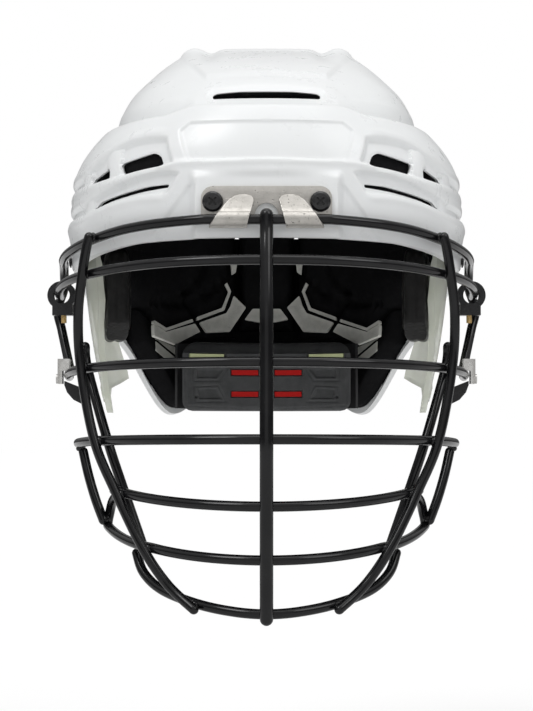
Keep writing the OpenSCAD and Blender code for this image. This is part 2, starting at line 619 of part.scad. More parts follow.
// Mask wires
function tangent(p, i) = unit(p[min(i + 1, len(p) - 1)] - p[max(i - 1, 0)]);
function carry(n, t) = unit(n - (n * t) * t);
function path_normals(p) = [for (i = 0, n = carry([0.3, 0.2, 1], tangent(p, 0)); i < len(p);
  i = i + 1, n = carry(n, tangent(p, min(i, len(p) - 1)))) n];
module wire(p, r, sides = 10) {
  n = len(p);
  first = tangent(p, 0);
  last = tangent(p, n - 1);
  nm = path_normals(p);
  dome = [70, 35];
  centres = concat([for (a = dome) p[0] - first * r * sin(a)], p,
    [for (a = [35, 70]) p[n - 1] + last * r * sin(a)]);
  radii = concat([for (a = dome) r * cos(a)], [for (q = p) r], [for (a = [35, 70]) r * cos(a)]);
  normals = concat([nm[0], nm[0]], nm, [nm[n - 1], nm[n - 1]]);
  tangents = concat([first, first], [for (i = [0:n - 1]) tangent(p, i)], [last, last]);
  rings = len(centres);
  points = [for (i = [0:rings - 1]) for (k = [0:sides - 1])
    centres[i] + radii[i] * (cos(360 * k / sides) * normals[i]
      + sin(360 * k / sides) * cross(tangents[i], normals[i]))];
  function at(i, k) = i * sides + (k + sides) % sides;
  faces = concat(
    [for (i = [0:rings - 2]) for (k = [0:sides - 1]) each [
      [at(i, k), at(i + 1, k), at(i + 1, k + 1)], [at(i, k), at(i + 1, k + 1), at(i, k + 1)]]],
    [[for (k = [0:sides - 1]) at(0, k)]],
    [[for (k = [sides - 1:-1:0]) at(rings - 1, k)]]);
  polyhedron(points = points, faces = faces, convexity = 6);
}

// Rows of the mask: half width, depth, front, height at the centre, at the side bar and at the end,
// half width at the side bar, half width at the end, and fullness
side_w = shell_half_w;
brow_row = [side_w + 9.6, 140, hinge_y - 5, 18.8, 15.2, 9.8, side_w - 14.4, side_w + 9.4, 2.35];
eye_row = [side_w + 3.6, 140, hinge_y - 11.5, -31.3, -32.5, -34.5, side_w - 13.8, side_w + 3.3, 2.35];
cheek_row = [side_w - 0.5, 140, hinge_y - 15.5, -68.7, -69.3, -70.6, side_w - 21.3, side_w - 5.1, 2.2];
mouth_row = [side_w - 14, 105, hinge_y - 13, -101, -95.4, -94.5, side_w - 32.5, side_w - 27, 2];
jaw_row = [side_w - 16, 118, hinge_y - 9, -127, -122.2, -113.5, side_w - 46, side_w - 21.5, 2];
rows = [brow_row, eye_row, cheek_row, mouth_row, jaw_row];
function row_angle(r, x) = asin(pow(min(x / r[0], 1), r[8] / 2));
function row_point(r, a) = let (
    x = r[0] * pow(sin(abs(a)), 2 / r[8]) * sign(a),
    side = row_angle(r, r[6]),
    end = row_angle(r, r[7]),
    b = abs(a),
    z = b < side ? lerp(r[3], r[4], pow(b / side, 2)) : lerp(r[4], r[5], pow((b - side) / (end - side), 1.4)))
  [x, r[2] + r[1] * (1 - pow(cos(a), 2 / r[8])), z];
function row_path(r, count = 26) = let (end = row_angle(r, r[7]))
  [for (i = [0:count]) row_point(r, end * (2 * i / count - 1))];
function outward(r, a) = unit([r[1] * pow(sin(a), 2 - 2 / r[8]), -r[0] * pow(cos(a), 2 - 2 / r[8]), 0]);
cross_d = wire_d - weld;

// The chin wire turns up at its ends and meets the jaw wire
chin_y = hinge_y - 1;
chin_half = [[0, chin_y, -153.5], [16, chin_y + 2.5, -152.5], [34, chin_y + 12, -149.5], [52, chin_y + 29, -144],
  [62, chin_y + 39, -136], [66, chin_y + 46, -126.5]];
function mirrored(p) = concat([for (i = [len(p) - 1:-1:1]) [-p[i][0], p[i][1], p[i][2]]], p);

// The top frame wire: a straight hinge stretch, round the brow, then down the sides
wire_clear = 2.2;
function over_shell(s, z) = let (g = band_rise + wire_r + wire_clear)
  form_point([level_w(z) + g, level_front(z) + g, 0, z], s, false);
top_bend = concat(
  [for (p = [[0.24, 38.2], [0.33, 37.2], [0.43, 35.6], [0.55, 33], [0.66, 30.8], [0.77, 28.9], [0.87, 27.6], [0.95, 26.8]])
    over_shell(p[0], p[1])],
  [for (p = [[7.8, 127, 23.2], [8.4, 131.5, 14.5], [11.8, 131.5, 3], [9.2, 128, -8], [6.2, 121, -19], [3.1, 113, -30]])
    [side_w + p[0], hinge_y + p[1], p[2]]]);
function top_path() = let (
    bend = concat([[hinge_half - 8, hinge_y, hinge_z], [hinge_half, hinge_y, hinge_z]], top_bend),
    half = [for (i = [2:30]) spline(bend, i / 30)])
  concat(flip_x([for (i = [len(half) - 1:-1:0]) half[i]]),
    [[-hinge_half, hinge_y, hinge_z], [0, hinge_y, hinge_z], [hinge_half, hinge_y, hinge_z]], half);

// The side bar runs down the outside of the rows, and the rear bar down their inside
top_at_bar = over_shell(0.54, 33.2);
function bar_station(r, x, side) = let (a = row_angle(r, x))
  row_point(r, a) + side * cross_d * outward(r, a);
side_x = [for (r = rows) r[6]];
bar_top = top_at_bar + cross_d * [0.62, -0.78, 0];
bar_bulge = [side_w - 8.4, hinge_y + 37.4, -6];
side_bar_path = smooth_path(concat(
  [bar_top + [0, 0, 0.5], bar_top + [1.4, 0.3, -5.2]],
  [bar_station(brow_row, side_x[0], 1), bar_bulge],
  [for (i = [1:4]) bar_station(rows[i], side_x[i], 1)],
  [[49, chin_y + 15, -140], [35.6, chin_y + 7.4, -151.8]]), 26);
rear_x = [0, side_w - 7.6, side_w - 19.5, side_w - 28, side_w - 37.5];
rear_bar_path = smooth_path(concat(
  [bar_station(eye_row, rear_x[1], -1) + [1.6, 1.5, 12]],
  [for (i = [1:4]) bar_station(rows[i], rear_x[i], -1)]), 18);

// The outer jaw wire runs from the cheek wire's end down to the jaw wire's corner
function row_end(r) = row_point(r, row_angle(r, r[7]));
brace_top = row_end(cheek_row) + [-2.6, 0, -cross_d];
brace_low = row_end(jaw_row) + [2.2, -2.6, 2.9];
brace_bow = [0.8, -0.6, 0];
jaw_brace_path = smooth_path([brace_top, lerp(brace_top, brace_low, 0.35) + brace_bow,
  lerp(brace_top, brace_low, 0.7) + brace_bow, brace_low], 10);

// Past its corner the jaw wire turns up and in, to the rear bar
jaw_turn = [[side_w - 22.7, hinge_y + 66.5, -106], [side_w - 25, hinge_y + 58, -100], [side_w - 30.2, hinge_y + 42, -95]];
function jaw_path() = let (
    straight = row_path(jaw_row, 22),
    n = len(straight),
    bend = concat([straight[n - 2], straight[n - 1]], jaw_turn),
    turn = [for (i = [1:12]) spline(bend, 0.25 + 0.75 * i / 12)])
  concat(flip_x([for (i = [len(turn) - 1:-1:0]) turn[i]]), straight, turn);

bar_offset = bar_r + wire_r - weld;
centre_bar_path = smooth_path([
  [0, hinge_y - bar_offset, hinge_z + 1.6], [0, hinge_y - bar_offset - 0.6, hinge_z - 6],
  [0, brow_row[2] - bar_offset, brow_row[3]], [0, hinge_y - 16, -8],
  [0, eye_row[2] - bar_offset, eye_row[3]], [0, cheek_row[2] - bar_offset, cheek_row[3]],
  [0, mouth_row[2] - bar_offset, mouth_row[3]], [0, jaw_row[2] - bar_offset, jaw_row[3]],
  [0, chin_y - bar_offset - 3.5, -141.5], [0, chin_y - bar_offset, -155.4]], 24);

module mask_wire(p) { color(black) wire(p, wire_r); }
module centre_bar() { color(black) wire(centre_bar_path, bar_r, 12); }
module top_frame_wire() { mask_wire(top_path()); }
module brow_wire() { mask_wire(row_path(brow_row)); }
module eye_wire() { mask_wire(row_path(eye_row)); }
module cheek_wire() { mask_wire(row_path(cheek_row, 22)); }
module mouth_wire() { mask_wire(row_path(mouth_row, 20)); }
module jaw_wire() { mask_wire(jaw_path()); }
module chin_wire() { mask_wire(smooth_path(mirrored(chin_half), 22)); }
module side_bar_left() { mask_wire(side_bar_path); }
module side_bar_right() { mask_wire(flip_x(side_bar_path)); }
module rear_bar_left() { mask_wire(rear_bar_path); }
module rear_bar_right() { mask_wire(flip_x(rear_bar_path)); }
module jaw_brace_left() { mask_wire(jaw_brace_path); }
module jaw_brace_right() { mask_wire(flip_x(jaw_brace_path)); }

// Strap loops: a band round the brow wire's end, with two tails that a small screw clamps
loop_end = row_point(brow_row, row_angle(brow_row, brow_row[7]));
loop_y = loop_end[1] - 6.5;
loop_in = 4.5;
loop_shift = loop_in - wire_r - contact;
loop_t = 3.2;
loop_w = 8;
loop_tail = 6;
module strap_loop(m) {
  color(black) mirror([m, 0, 0]) translate([loop_end[0] - loop_shift, loop_y, loop_end[2]]) rotate([90, 0, 0])
    translate([0, 0, -loop_w / 2]) difference() {
      union() {
        cylinder(r = loop_in + loop_t, h = loop_w);
        translate([-loop_tail, -loop_in - loop_t - 3.2, 0]) cube([loop_tail + 5, 3.2 + loop_t, loop_w]);
      }
      translate([0, 0, -1]) cylinder(r = loop_in, h = loop_w + 2);
      translate([-1, -loop_in - loop_t + 1, loop_w / 2]) rotate([90, 0, 0]) cylinder(r = 1.7, h = 20, center = true);
    }
}
module strap_loop_left() { strap_loop(0); }
module strap_loop_right() { strap_loop(1); }
module loop_screw(m) {
  color("goldenrod") mirror([m, 0, 0])
    translate([loop_end[0] - loop_shift - 1, loop_y, loop_end[2] - loop_in - 0.9]) cross_screw(2.6, 0.9, 1.5, 9.6);
}
module loop_screw_left() { loop_screw(0); }
module loop_screw_right() { loop_screw(1); }

// Lower clips: a saddle over the eye wire's end with its screw, and a rubber bumper below
eye_end = row_point(eye_row, row_angle(eye_row, eye_row[7]));
clip_y = -7.5;
module side_clip(m) {
  color(steel) mirror([m, 0, 0]) translate(eye_end + [0, clip_y, 0]) difference() {
    union() {
      translate([-1.2, -4.5, -4.2]) cube([6.4, 9, 13.4]);
      translate([5.1, 0, -1.5]) rotate([0, 90, 0]) cylinder(r = 2.6, h = 1.2);
    }
    translate([-3.4, -6, -5.4]) cube([6.1, 12, 8.2]);
  }
}
module side_clip_left() { side_clip(0); }
module side_clip_right() { side_clip(1); }
module clip_bumper(m) {
  color(black) mirror([m, 0, 0]) translate(eye_end + [-6.4, clip_y, -5.9]) rotate([90, 0, 0])
    translate([0, 0, -4]) linear_extrude(8) polygon([[0, 0], [8, 3.2], [8, 1], [6.5, -3], [3, -7], [-1, -9]]);
}
module clip_bumper_left() { clip_bumper(0); }
module clip_bumper_right() { clip_bumper(1); }

front_shell();
rear_shell();
hinge_clip();
clip_screws();
clip_nuts();
forehead_pad();
crown_pad_front();
side_pad_left();
side_pad_right();
temple_pad_left();
temple_pad_right();
temple_mounts();
ear_guard_left();
ear_guard_right();
guard_screws_left();
guard_screws_right();
snap_stud_left();
snap_stud_right();
crown_pad_rear();
rear_pad_left();
rear_pad_right();
rear_pad_centre();
rear_pad_panels();
nape_pad_left();
nape_pad_right();
size_screws_left();
size_screws_right();
size_nuts();
guard_nuts();
nape_bracket();
nape_carrier();
nape_pad();
nape_inserts();
nape_strips();
centre_bar();
top_frame_wire();
brow_wire();
eye_wire();
cheek_wire();
mouth_wire();
jaw_wire();
chin_wire();
side_bar_left();
side_bar_right();
rear_bar_left();
rear_bar_right();
jaw_brace_left();
jaw_brace_right();
strap_loop_left();
strap_loop_right();
loop_screw_left();
loop_screw_right();
side_clip_left();
side_clip_right();
clip_bumper_left();
clip_bumper_right();
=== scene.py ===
import bpy
import bmesh
import json
import math
import numpy as np
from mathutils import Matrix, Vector
from mathutils.bvhtree import BVHTree

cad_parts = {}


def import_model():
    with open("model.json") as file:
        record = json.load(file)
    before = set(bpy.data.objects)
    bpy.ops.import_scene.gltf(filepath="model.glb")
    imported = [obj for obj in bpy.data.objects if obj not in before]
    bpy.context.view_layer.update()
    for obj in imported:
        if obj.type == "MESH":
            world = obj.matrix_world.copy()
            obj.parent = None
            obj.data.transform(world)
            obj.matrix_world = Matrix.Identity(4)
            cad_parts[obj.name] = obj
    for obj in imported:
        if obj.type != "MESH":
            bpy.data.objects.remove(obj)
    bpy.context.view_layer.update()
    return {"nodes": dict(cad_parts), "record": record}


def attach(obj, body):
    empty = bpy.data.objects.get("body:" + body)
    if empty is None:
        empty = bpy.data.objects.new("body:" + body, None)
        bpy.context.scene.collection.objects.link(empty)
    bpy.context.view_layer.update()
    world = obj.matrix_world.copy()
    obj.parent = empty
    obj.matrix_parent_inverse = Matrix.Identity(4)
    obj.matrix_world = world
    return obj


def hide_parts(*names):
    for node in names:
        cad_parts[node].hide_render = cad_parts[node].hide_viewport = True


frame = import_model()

MM = 0.001
SIDES = (("left", 1), ("right", -1))

# Sizes, as in the source (mm)
half_w, reach, back, front_pole, rear_pole = 104.0, 124.0, 100.0, 5.0, 50.0
wall, band_rise, brow_z, side_z = 2.4, 2.2, 31.0, 22.0
shell_gap, contact, clip_t, wire_d, weld = 0.6, 0.3, 1.5, 5.0, 0.5
seam_y, tongue_y = rear_pole - 2.6, front_pole + 10
boss_half, boss_y, boss_t = 36.0, front_pole - reach - band_rise + 1.5, 5.0
clip_front_y = boss_y - clip_t
wire_r, bar_r = 2.5, 3.3
hinge_y, hinge_z, hinge_half = clip_front_y - wire_r - 0.3, 39.0, 31.0
guard_t, guard_top = 2.4, 33.0

# The shells' rows: where the ledge under the crown ends, how far it falls, and where the rim's rows start
ledge_z, ledge_drop, rim_z = 96.0, 4.2, 46.0
# Past the widest place (s = 1) a unit of s is this many mm
tail = 50.0


# General functions
def lerp(a, b, t):
    return a + (b - a) * t


def smooth(a, b, x):
    t = np.clip((np.asarray(x, float) - a) / (b - a), 0, 1)
    return t * t * (3 - 2 * t)


def bell(x, width):
    return np.exp(-(x / width) ** 2)


def spline(p, t):
    p = np.asarray(p, float)
    n = len(p) - 1
    s = min(max(t, 0), 0.99999) * n
    i = int(s)
    f = s - i
    a, b, c, d = p[max(i - 1, 0)], p[i], p[i + 1], p[min(i + 2, n)]
    return 0.5 * (2 * b + (c - a) * f + (2 * a - 5 * b + 4 * c - d) * f * f + (3 * b - a - 3 * c + d) * f ** 3)


def smooth_path(p, count):
    return np.array([spline(p, i / count) for i in range(count + 1)])


def flip_x(p):
    return np.asarray(p) * [-1, 1, 1]


# Materials
class Nodes:
    """Small helper to write node trees."""

    def __init__(self, tree, shader=None):
        self.t, self.shader = tree, shader
        self.pos = self.new("TexCoord").outputs["Object"]

    def put(self, socket, v):
        """Links an output to the socket, or gives the socket a value."""
        if hasattr(v, "links"):
            self.t.links.new(v, socket)
        else:
            socket.default_value = (*v, 1) if socket.type == "RGBA" else v

    def new(self, kind, **inputs):
        """A node with the named inputs set."""
        n = self.t.nodes.new("ShaderNode" + kind)
        for name, v in inputs.items():
            self.put(n.inputs[name], v)
        return n

    def surface(self, **inputs):
        """Sets inputs of the material's shader, with _ for the spaces in their names."""
        for name, v in inputs.items():
            self.put(self.shader.inputs[name.replace("_", " ")], v)

    def noise(self, scale, detail=4, rough=0.55, warp=None, dist=0.0):
        return self.new("TexNoise", Scale=scale, Detail=detail, Roughness=rough, Distortion=dist,
                        Vector=warp or self.pos).outputs["Fac"]

    def voronoi(self, scale):
        return self.new("TexVoronoi", Scale=scale, Vector=self.pos).outputs["Distance"]

    def stretch(self, scale, turn=(0, 0, 0)):
        return self.new("Mapping", Scale=scale, Rotation=turn, Vector=self.pos).outputs["Vector"]

    def ramp(self, src, *stops):
        n = self.new("ValToRGB", Fac=src)
        e = n.color_ramp.elements
        while len(e) < len(stops):
            e.new(0.5)
        for k, (p, c) in enumerate(stops):
            e[k].position = p
            e[k].color = (c, c, c, 1) if isinstance(c, (int, float)) else (*c, 1)
        return n.outputs["Color"]

    def mix(self, fac, a, b, kind="MIX"):
        n = self.new("Mix")
        n.data_type, n.blend_type = "RGBA", kind
        for k, v in ((0, fac), (6, a), (7, b)):
            self.put(n.inputs[k], v)
        return n.outputs[2]

    def math(self, op, a, b):
        n = self.new("Math")
        n.operation = op
        self.put(n.inputs[0], a)
        self.put(n.inputs[1], b)
        return n.outputs[0]

    def edges(self, low, high):
        """Pointiness as a mask: convex edges are bright."""
        return self.ramp(self.new("NewGeometry").outputs["Pointiness"], (low, 0.0), (high, 1.0))

    def bump(self, height, strength, distance, normal=None):
        n = self.new("Bump", Strength=strength, Distance=distance, Height=height)
        if normal:
            self.put(n.inputs["Normal"], normal)
        return n.outputs["Normal"]


def material(name):
    """A new material, and the helper for its nodes."""
    m = bpy.data.materials.new(name)
    m.use_nodes = True
    t = m.node_tree
    return m, Nodes(t, next(n for n in t.nodes if n.type == "BSDF_PRINCIPLED"))


def white_plastic():
    m, n = material("white_shell")
    dirt = n.ramp(n.noise(26, 8, 0.65), (0.42, 0.0), (0.75, 1.0))
    streaks = n.noise(40, 3, 0.5, n.stretch((1, 9, 2), (0.4, 0.2, 0.9)), 1.5)
    scratch = n.ramp(streaks, (0.5, 0.0), (0.85, 1.0))
    colour = n.mix(n.math("MULTIPLY", dirt, 0.35), (0.83, 0.845, 0.85), (0.76, 0.77, 0.77))
    colour = n.mix(n.math("MULTIPLY", n.edges(0.5, 0.56), 0.4), colour, (0.86, 0.865, 0.86))
    worn = n.ramp(n.noise(60, 6, 0.7), (0.3, 0.24), (0.7, 0.36))
    worn = n.mix(n.math("MULTIPLY", scratch, 0.25), worn, (0.5, 0.5, 0.5))
    wave = n.bump(n.noise(18, 2), 0.05, 0.0012)
    n.surface(Base_Color=colour, Roughness=worn, Specular_IOR_Level=0.35, Coat_Weight=0.18,
              Coat_Roughness=0.12, Normal=n.bump(n.noise(900, 2), 0.03, 0.0002, wave))
    return m


def wire_black():
    m, n = material("wire_black")
    colour = n.ramp(n.noise(80, 6, 0.6), (0.35, (0.003, 0.003, 0.0035)), (0.8, (0.008, 0.008, 0.009)))
    rub = n.ramp(n.noise(220, 4, 0.7), (0.70, 0.0), (0.76, 1.0))
    n.surface(Base_Color=n.mix(n.math("MULTIPLY", rub, 0.2), colour, (0.03, 0.029, 0.028)),
              Roughness=n.ramp(n.noise(150, 5, 0.6), (0.3, 0.10), (0.75, 0.20)),
              Specular_IOR_Level=0.34, Normal=n.bump(n.noise(420, 3), 0.03, 0.0002))
    return m


def plain(name, base, second, rough=(0.4, 0.6), metal=0.0, scale=120, bump=0.15, depth=0.0003, coat=0.0,
          grain=None, spec=0.25):
    """A two-tone surface with lighter edges; grain is the scale of a pebbled texture."""
    m, n = material(name)
    colour = n.mix(n.ramp(n.noise(scale, 6, 0.65), (0.35, 0.0), (0.7, 1.0)), base, second)
    light = tuple(min(1, c * 1.6 + 0.03) for c in base)
    height = n.voronoi(grain) if grain else n.noise(scale * 6, 3)
    n.surface(Base_Color=n.mix(n.math("MULTIPLY", n.edges(0.5, 0.58), 0.35), colour, light),
              Roughness=n.ramp(n.noise(scale * 1.7, 5), (0.3, rough[0]), (0.7, rough[1])),
              Metallic=metal, Coat_Weight=coat, Specular_IOR_Level=0.5 if metal > 0.5 else spec,
              Normal=n.bump(height, bump, depth))
    return m


def worn_steel():
    m, n = material("worn_steel")
    brush = n.noise(160, 4, 0.6, n.stretch((1, 1, 9)))
    blotch = n.ramp(n.noise(110, 8, 0.72), (0.36, 0.0), (0.70, 1.0))
    pits = n.ramp(n.noise(850, 2, 0.5), (0.62, 0.0), (0.68, 1.0))
    near = n.ramp(n.noise(130, 3, 0.6), (0.5, 0.0), (0.62, 1.0))
    colour = n.mix(brush, (0.60, 0.58, 0.545), (0.46, 0.44, 0.41))
    colour = n.mix(n.math("MULTIPLY", blotch, 0.45), colour, (0.20, 0.19, 0.17))
    colour = n.mix(n.math("MULTIPLY", n.edges(0.5, 0.6), 0.5), colour, (0.66, 0.64, 0.61))
    n.surface(Base_Color=n.mix(n.math("MULTIPLY", pits, near), colour, (0.03, 0.028, 0.025)), Metallic=0.8,
              Roughness=n.ramp(blotch, (0.0, 0.34), (1.0, 0.48)),
              Normal=n.bump(n.math("SUBTRACT", 1.0, pits), 0.5, 0.0003, n.bump(brush, 0.15, 0.0002)))
    return m


def leather():
    m, n = material("temple_leather")
    crease = n.ramp(n.voronoi(420), (0.0, 0.0), (0.5, 1.0))
    patches = n.ramp(n.noise(90, 6), (0.3, 0.0), (0.75, 1.0))
    n.surface(Base_Color=n.mix(patches, (0.004, 0.004, 0.004), (0.012, 0.0115, 0.011)),
              Roughness=n.ramp(n.noise(200, 5), (0.3, 0.30), (0.7, 0.46)), Specular_IOR_Level=0.25,
              Normal=n.bump(crease, 0.28, 0.0004, n.bump(n.noise(60, 3), 0.3, 0.0012)))
    return m


def foam():
    m, n = material("foam_black")
    n.surface(Base_Color=n.mix(n.noise(70, 6), (0.004, 0.004, 0.0045), (0.011, 0.011, 0.012)),
              Roughness=n.ramp(n.noise(300, 3), (0.3, 0.55), (0.7, 0.8)), Specular_IOR_Level=0.05,
              Normal=n.bump(n.voronoi(1300), 0.35, 0.0003, n.bump(n.noise(45, 4), 0.35, 0.0016)))
    return m


def guard_clear():
    m, n = material("guard_clear")
    patches = n.ramp(n.noise(60, 5), (0.3, 0.0), (0.8, 1.0))
    n.surface(Base_Color=n.mix(patches, (0.90, 0.92, 0.84), (0.84, 0.87, 0.74)),
              Roughness=n.ramp(n.noise(140, 5), (0.3, 0.08), (0.8, 0.26)),
              Transmission_Weight=0.30, IOR=1.3, Alpha=0.72, Normal=n.bump(n.noise(300, 4), 0.08, 0.0003))
    return m

MAT = {
    "white": white_plastic(),
    "wire": wire_black(),
    "steel": worn_steel(),
    "screw": plain("screw_black", (0.004, 0.004, 0.0045), (0.010, 0.010, 0.011), (0.16, 0.28), scale=300,
                   coat=0.1, spec=0.45),
    "zinc": plain("zinc", (0.45, 0.45, 0.45), (0.32, 0.32, 0.32), (0.25, 0.45), 0.6, 260),
    "brass": plain("brass", (0.62, 0.42, 0.17), (0.42, 0.28, 0.11), (0.25, 0.45), 0.6, 260),
    "nickel": plain("nickel", (0.62, 0.61, 0.59), (0.42, 0.41, 0.39), (0.14, 0.3), 0.6, 260),
    "rubber": plain("strap_black", (0.005, 0.005, 0.006), (0.013, 0.013, 0.014), (0.2, 0.34), scale=160, coat=0.1),
    "foam": foam(),
    "leather": leather(),
    "panel": plain("panel_grey", (0.56, 0.56, 0.52), (0.46, 0.46, 0.43), (0.5, 0.7), scale=200, bump=0.3,
                   depth=0.0004, grain=1100),
    "nape": plain("nape_grey", (0.060, 0.062, 0.064), (0.085, 0.087, 0.089), (0.34, 0.5), scale=140, bump=0.25,
                  grain=1500),
    "plastic": plain("plastic_black", (0.008, 0.008, 0.009), (0.018, 0.018, 0.019), (0.35, 0.55), scale=160),
    "red": plain("insert_red", (0.50, 0.004, 0.003), (0.36, 0.003, 0.002), (0.35, 0.5), scale=300, spec=0.1),
    "lime": plain("strip_lime", (0.60, 0.68, 0.36), (0.5, 0.57, 0.3), scale=260),
    "grey": plain("mount_grey", (0.22, 0.22, 0.225), (0.15, 0.15, 0.155), scale=260),
    "guard": guard_clear(),
}


# Mesh helpers
def new_object(name, data):
    o = bpy.data.objects.new(name, data)
    bpy.context.scene.collection.objects.link(o)
    return o


def mesh_of(bm, name):
    """The bmesh as a new mesh."""
    me = bpy.data.meshes.new(name)
    bm.to_mesh(me)
    bm.free()
    return me


def edge_split(o, degrees):
    o.modifiers.new("edge", "EDGE_SPLIT").split_angle = math.radians(degrees)


def bevel(o, width, segments, degrees):
    mod = o.modifiers.new("bevel", "BEVEL")
    mod.width, mod.segments = width * MM, segments
    mod.limit_method, mod.angle_limit = "ANGLE", math.radians(degrees)


def add_mesh(name, verts, faces, mat, body, nodes=(), angle=None):
    """A smooth piece that rides a body and stands for its nodes; edges over the angle stay sharp."""
    me = bpy.data.meshes.new(name)
    me.from_pydata([tuple(v) for v in np.asarray(verts) * MM], [], [tuple(int(i) for i in f) for f in faces])
    me.validate()
    me.update()
    o = new_object(name, me)
    me.materials.append(MAT[mat])
    me.polygons.foreach_set("use_smooth", [True] * len(me.polygons))
    me.update()
    if angle:
        edge_split(o, angle)
    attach(o, body)
    if nodes:
        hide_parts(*nodes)
    return o


def grid_faces(rows, cols, closed=True):
    """Quads between rows of points. A closed grid joins its last column to its first."""
    faces = []
    for j in range(rows - 1):
        for k in range(cols if closed else cols - 1):
            a, b = j * cols, (k + 1) % cols
            faces.append((a + k, a + b, a + cols + b, a + cols + k))
    return faces


def grid_normals(g):
    n = np.cross(np.gradient(g, axis=0), np.gradient(g, axis=1))
    n = n / np.maximum(np.linalg.norm(n, axis=2, keepdims=True), 1e-9)
    n[0] = [0, 0, 1]
    return n


def skin(outer, inner, keep=None, fold=False):
    """Vertices and faces of a solid between two grids of points. A folded first row closes on itself."""
    rows, cols = outer.shape[0] - 1, outer.shape[1] - 1
    if keep is None:
        keep = np.ones((rows, cols), bool)
    w = cols + 1
    n = (rows + 1) * w
    verts = np.concatenate([outer.reshape(-1, 3), inner.reshape(-1, 3)])
    faces = []
    pad = np.zeros((rows + 2, cols + 2), bool)
    pad[1:-1, 1:-1] = keep
    for j in range(rows):
        for k in range(cols):
            if not keep[j, k]:
                continue
            a, b, c, d = j * w + k, j * w + k + 1, (j + 1) * w + k + 1, (j + 1) * w + k
            faces.append((a, b, c, d))
            faces.append((a + n, d + n, c + n, b + n))
            if not pad[j + 2, k + 1]:
                faces.append((d, c, c + n, d + n))
            if not pad[j, k + 1] and not (fold and j == 0):
                faces.append((b, a, a + n, b + n))
            if not pad[j + 1, k]:
                faces.append((a, d, d + n, a + n))
            if not pad[j + 1, k + 2]:
                faces.append((c, b, b + n, c + n))
    return verts, faces


def weld_mesh(o):
    """Joins points that coincide, and turns all faces outward."""
    bm = bmesh.new()
    bm.from_mesh(o.data)
    bmesh.ops.remove_doubles(bm, verts=bm.verts, dist=0.02 * MM)
    bmesh.ops.recalc_face_normals(bm, faces=bm.faces)
    bm.to_mesh(o.data)
    bm.free()
    o.data.polygons.foreach_set("use_smooth", [True] * len(o.data.polygons))
    o.data.update()


# The shells' form. A level is (half width, reach to the front, reach to the back, height), and a place s runs
# from 0 in the middle to 1 or -1 at the widest place.
crown_levels = np.array([
    [0, 0, 0, 147], [24, 3, 20, 147], [42, 8, 34, 146.2], [47.6, 17, 44, 143], [56.7, 42, 57, 135.5],
    [65.5, 66, 67, 126.5], [74.6, 87, 76, 116], [80.5, 101.5, 82, 105], [82.5, 106.5, 84, 101.5]])


def level_at(z):
    z = np.asarray(z, float)
    up = np.maximum(z - 60, 0)
    w = half_w * (1 - (np.maximum(z - 62, 0) / 78) ** 2) + 2 * bell(z - 44, 8) - 0.3 * np.maximum(8 - z, 0)
    f = reach * np.sqrt(1 - (up / 90) ** 2)
    b = back * np.sqrt(1 - (up / 90) ** 2) - 0.13 * np.maximum(20 - z, 0)
    return np.stack([w, f, b, z], -1)


def form(level, s, rear):
    """Points of the form for arrays of levels (..., 4) and places s."""
    s = np.broadcast_to(s, level.shape[:-1])
    a = np.minimum(np.abs(s), 1) * np.pi / 2
    e = 2 / 2.35
    x = level[..., 0] * np.sin(a) ** e * np.sign(s)
    run = np.maximum(np.abs(s) - 1, 0) * tail
    c = np.maximum(np.cos(a), 0) ** e
    if rear:
        return np.stack([-x, rear_pole + level[..., 2] * c - run, level[..., 3]], -1)
    return np.stack([x, front_pole - level[..., 1] * c + run, level[..., 3]], -1)


def soft_lookup(pairs, s, width=0.03):
    xs, ys = zip(*pairs)
    s = np.abs(s)
    return sum(np.interp(np.abs(s + d), xs, ys) for d in np.linspace(-width, width, 7)) / 7


def brow_edge(s):
    return soft_lookup([(0, brow_z), (0.4, brow_z - 1.5), (0.62, brow_z - 5), (0.78, side_z + 1), (0.9, side_z),
                        (2, side_z + 2)], s)


def nape_edge(s):
    return soft_lookup([(0, -44), (0.28, -46), (0.42, -54), (0.49, -52), (0.56, -38), (0.62, -19), (0.7, -8),
                        (0.82, 2), (0.93, 14), (1.02, 27), (2, 27)], s)


def ledge_fall(s, rear):
    """How far the ledge lies lower at places s: not in the middle of the brow."""
    s = np.abs(s)
    return ledge_drop * (np.ones_like(s) if rear else np.clip((s - 0.25) / 0.11, 0, 1))


def shell_rows(s, rear, crown_n, ledge_n, band_n, rim_n):
    """Levels for every row and column, and each row's place: 0 on the crown, to 1 on the band."""
    drop = ledge_fall(s, rear)
    levels = []
    for v in np.arange(crown_n + 1) / crown_n:
        lv = np.tile(spline(crown_levels, v), (len(s), 1))
        lv[:, 3] -= drop * max(8 * v - 7, 0)
        levels.append(lv)
    top, band_top = levels[-1], ledge_z - drop
    steps = np.arange(1, ledge_n + 1) / ledge_n
    levels += [lerp(top, level_at(band_top), t) for t in steps]
    levels += [level_at(lerp(band_top, rim_z, t)) for t in np.arange(1, band_n + 1) / band_n]
    edge = nape_edge(s) if rear else brow_edge(s)
    levels += [level_at(lerp(rim_z, edge, t)) for t in np.arange(1, rim_n + 1) / rim_n]
    return np.array(levels), np.concatenate([np.zeros(crown_n + 1), steps, np.ones(band_n + rim_n)])


def arc_of(s):
    """Way round the form at its widest level, in mm from the centre, at places s."""
    t = np.linspace(0, 1, 1200)
    p = form(np.tile([half_w, reach, back, 60.0], (len(t), 1)), t, False)
    way = np.concatenate([[0], np.cumsum(np.linalg.norm(np.diff(p, axis=0), axis=1))])
    sa = np.abs(s)
    return np.interp(np.minimum(sa, 1), t, way) + np.maximum(sa - 1, 0) * tail


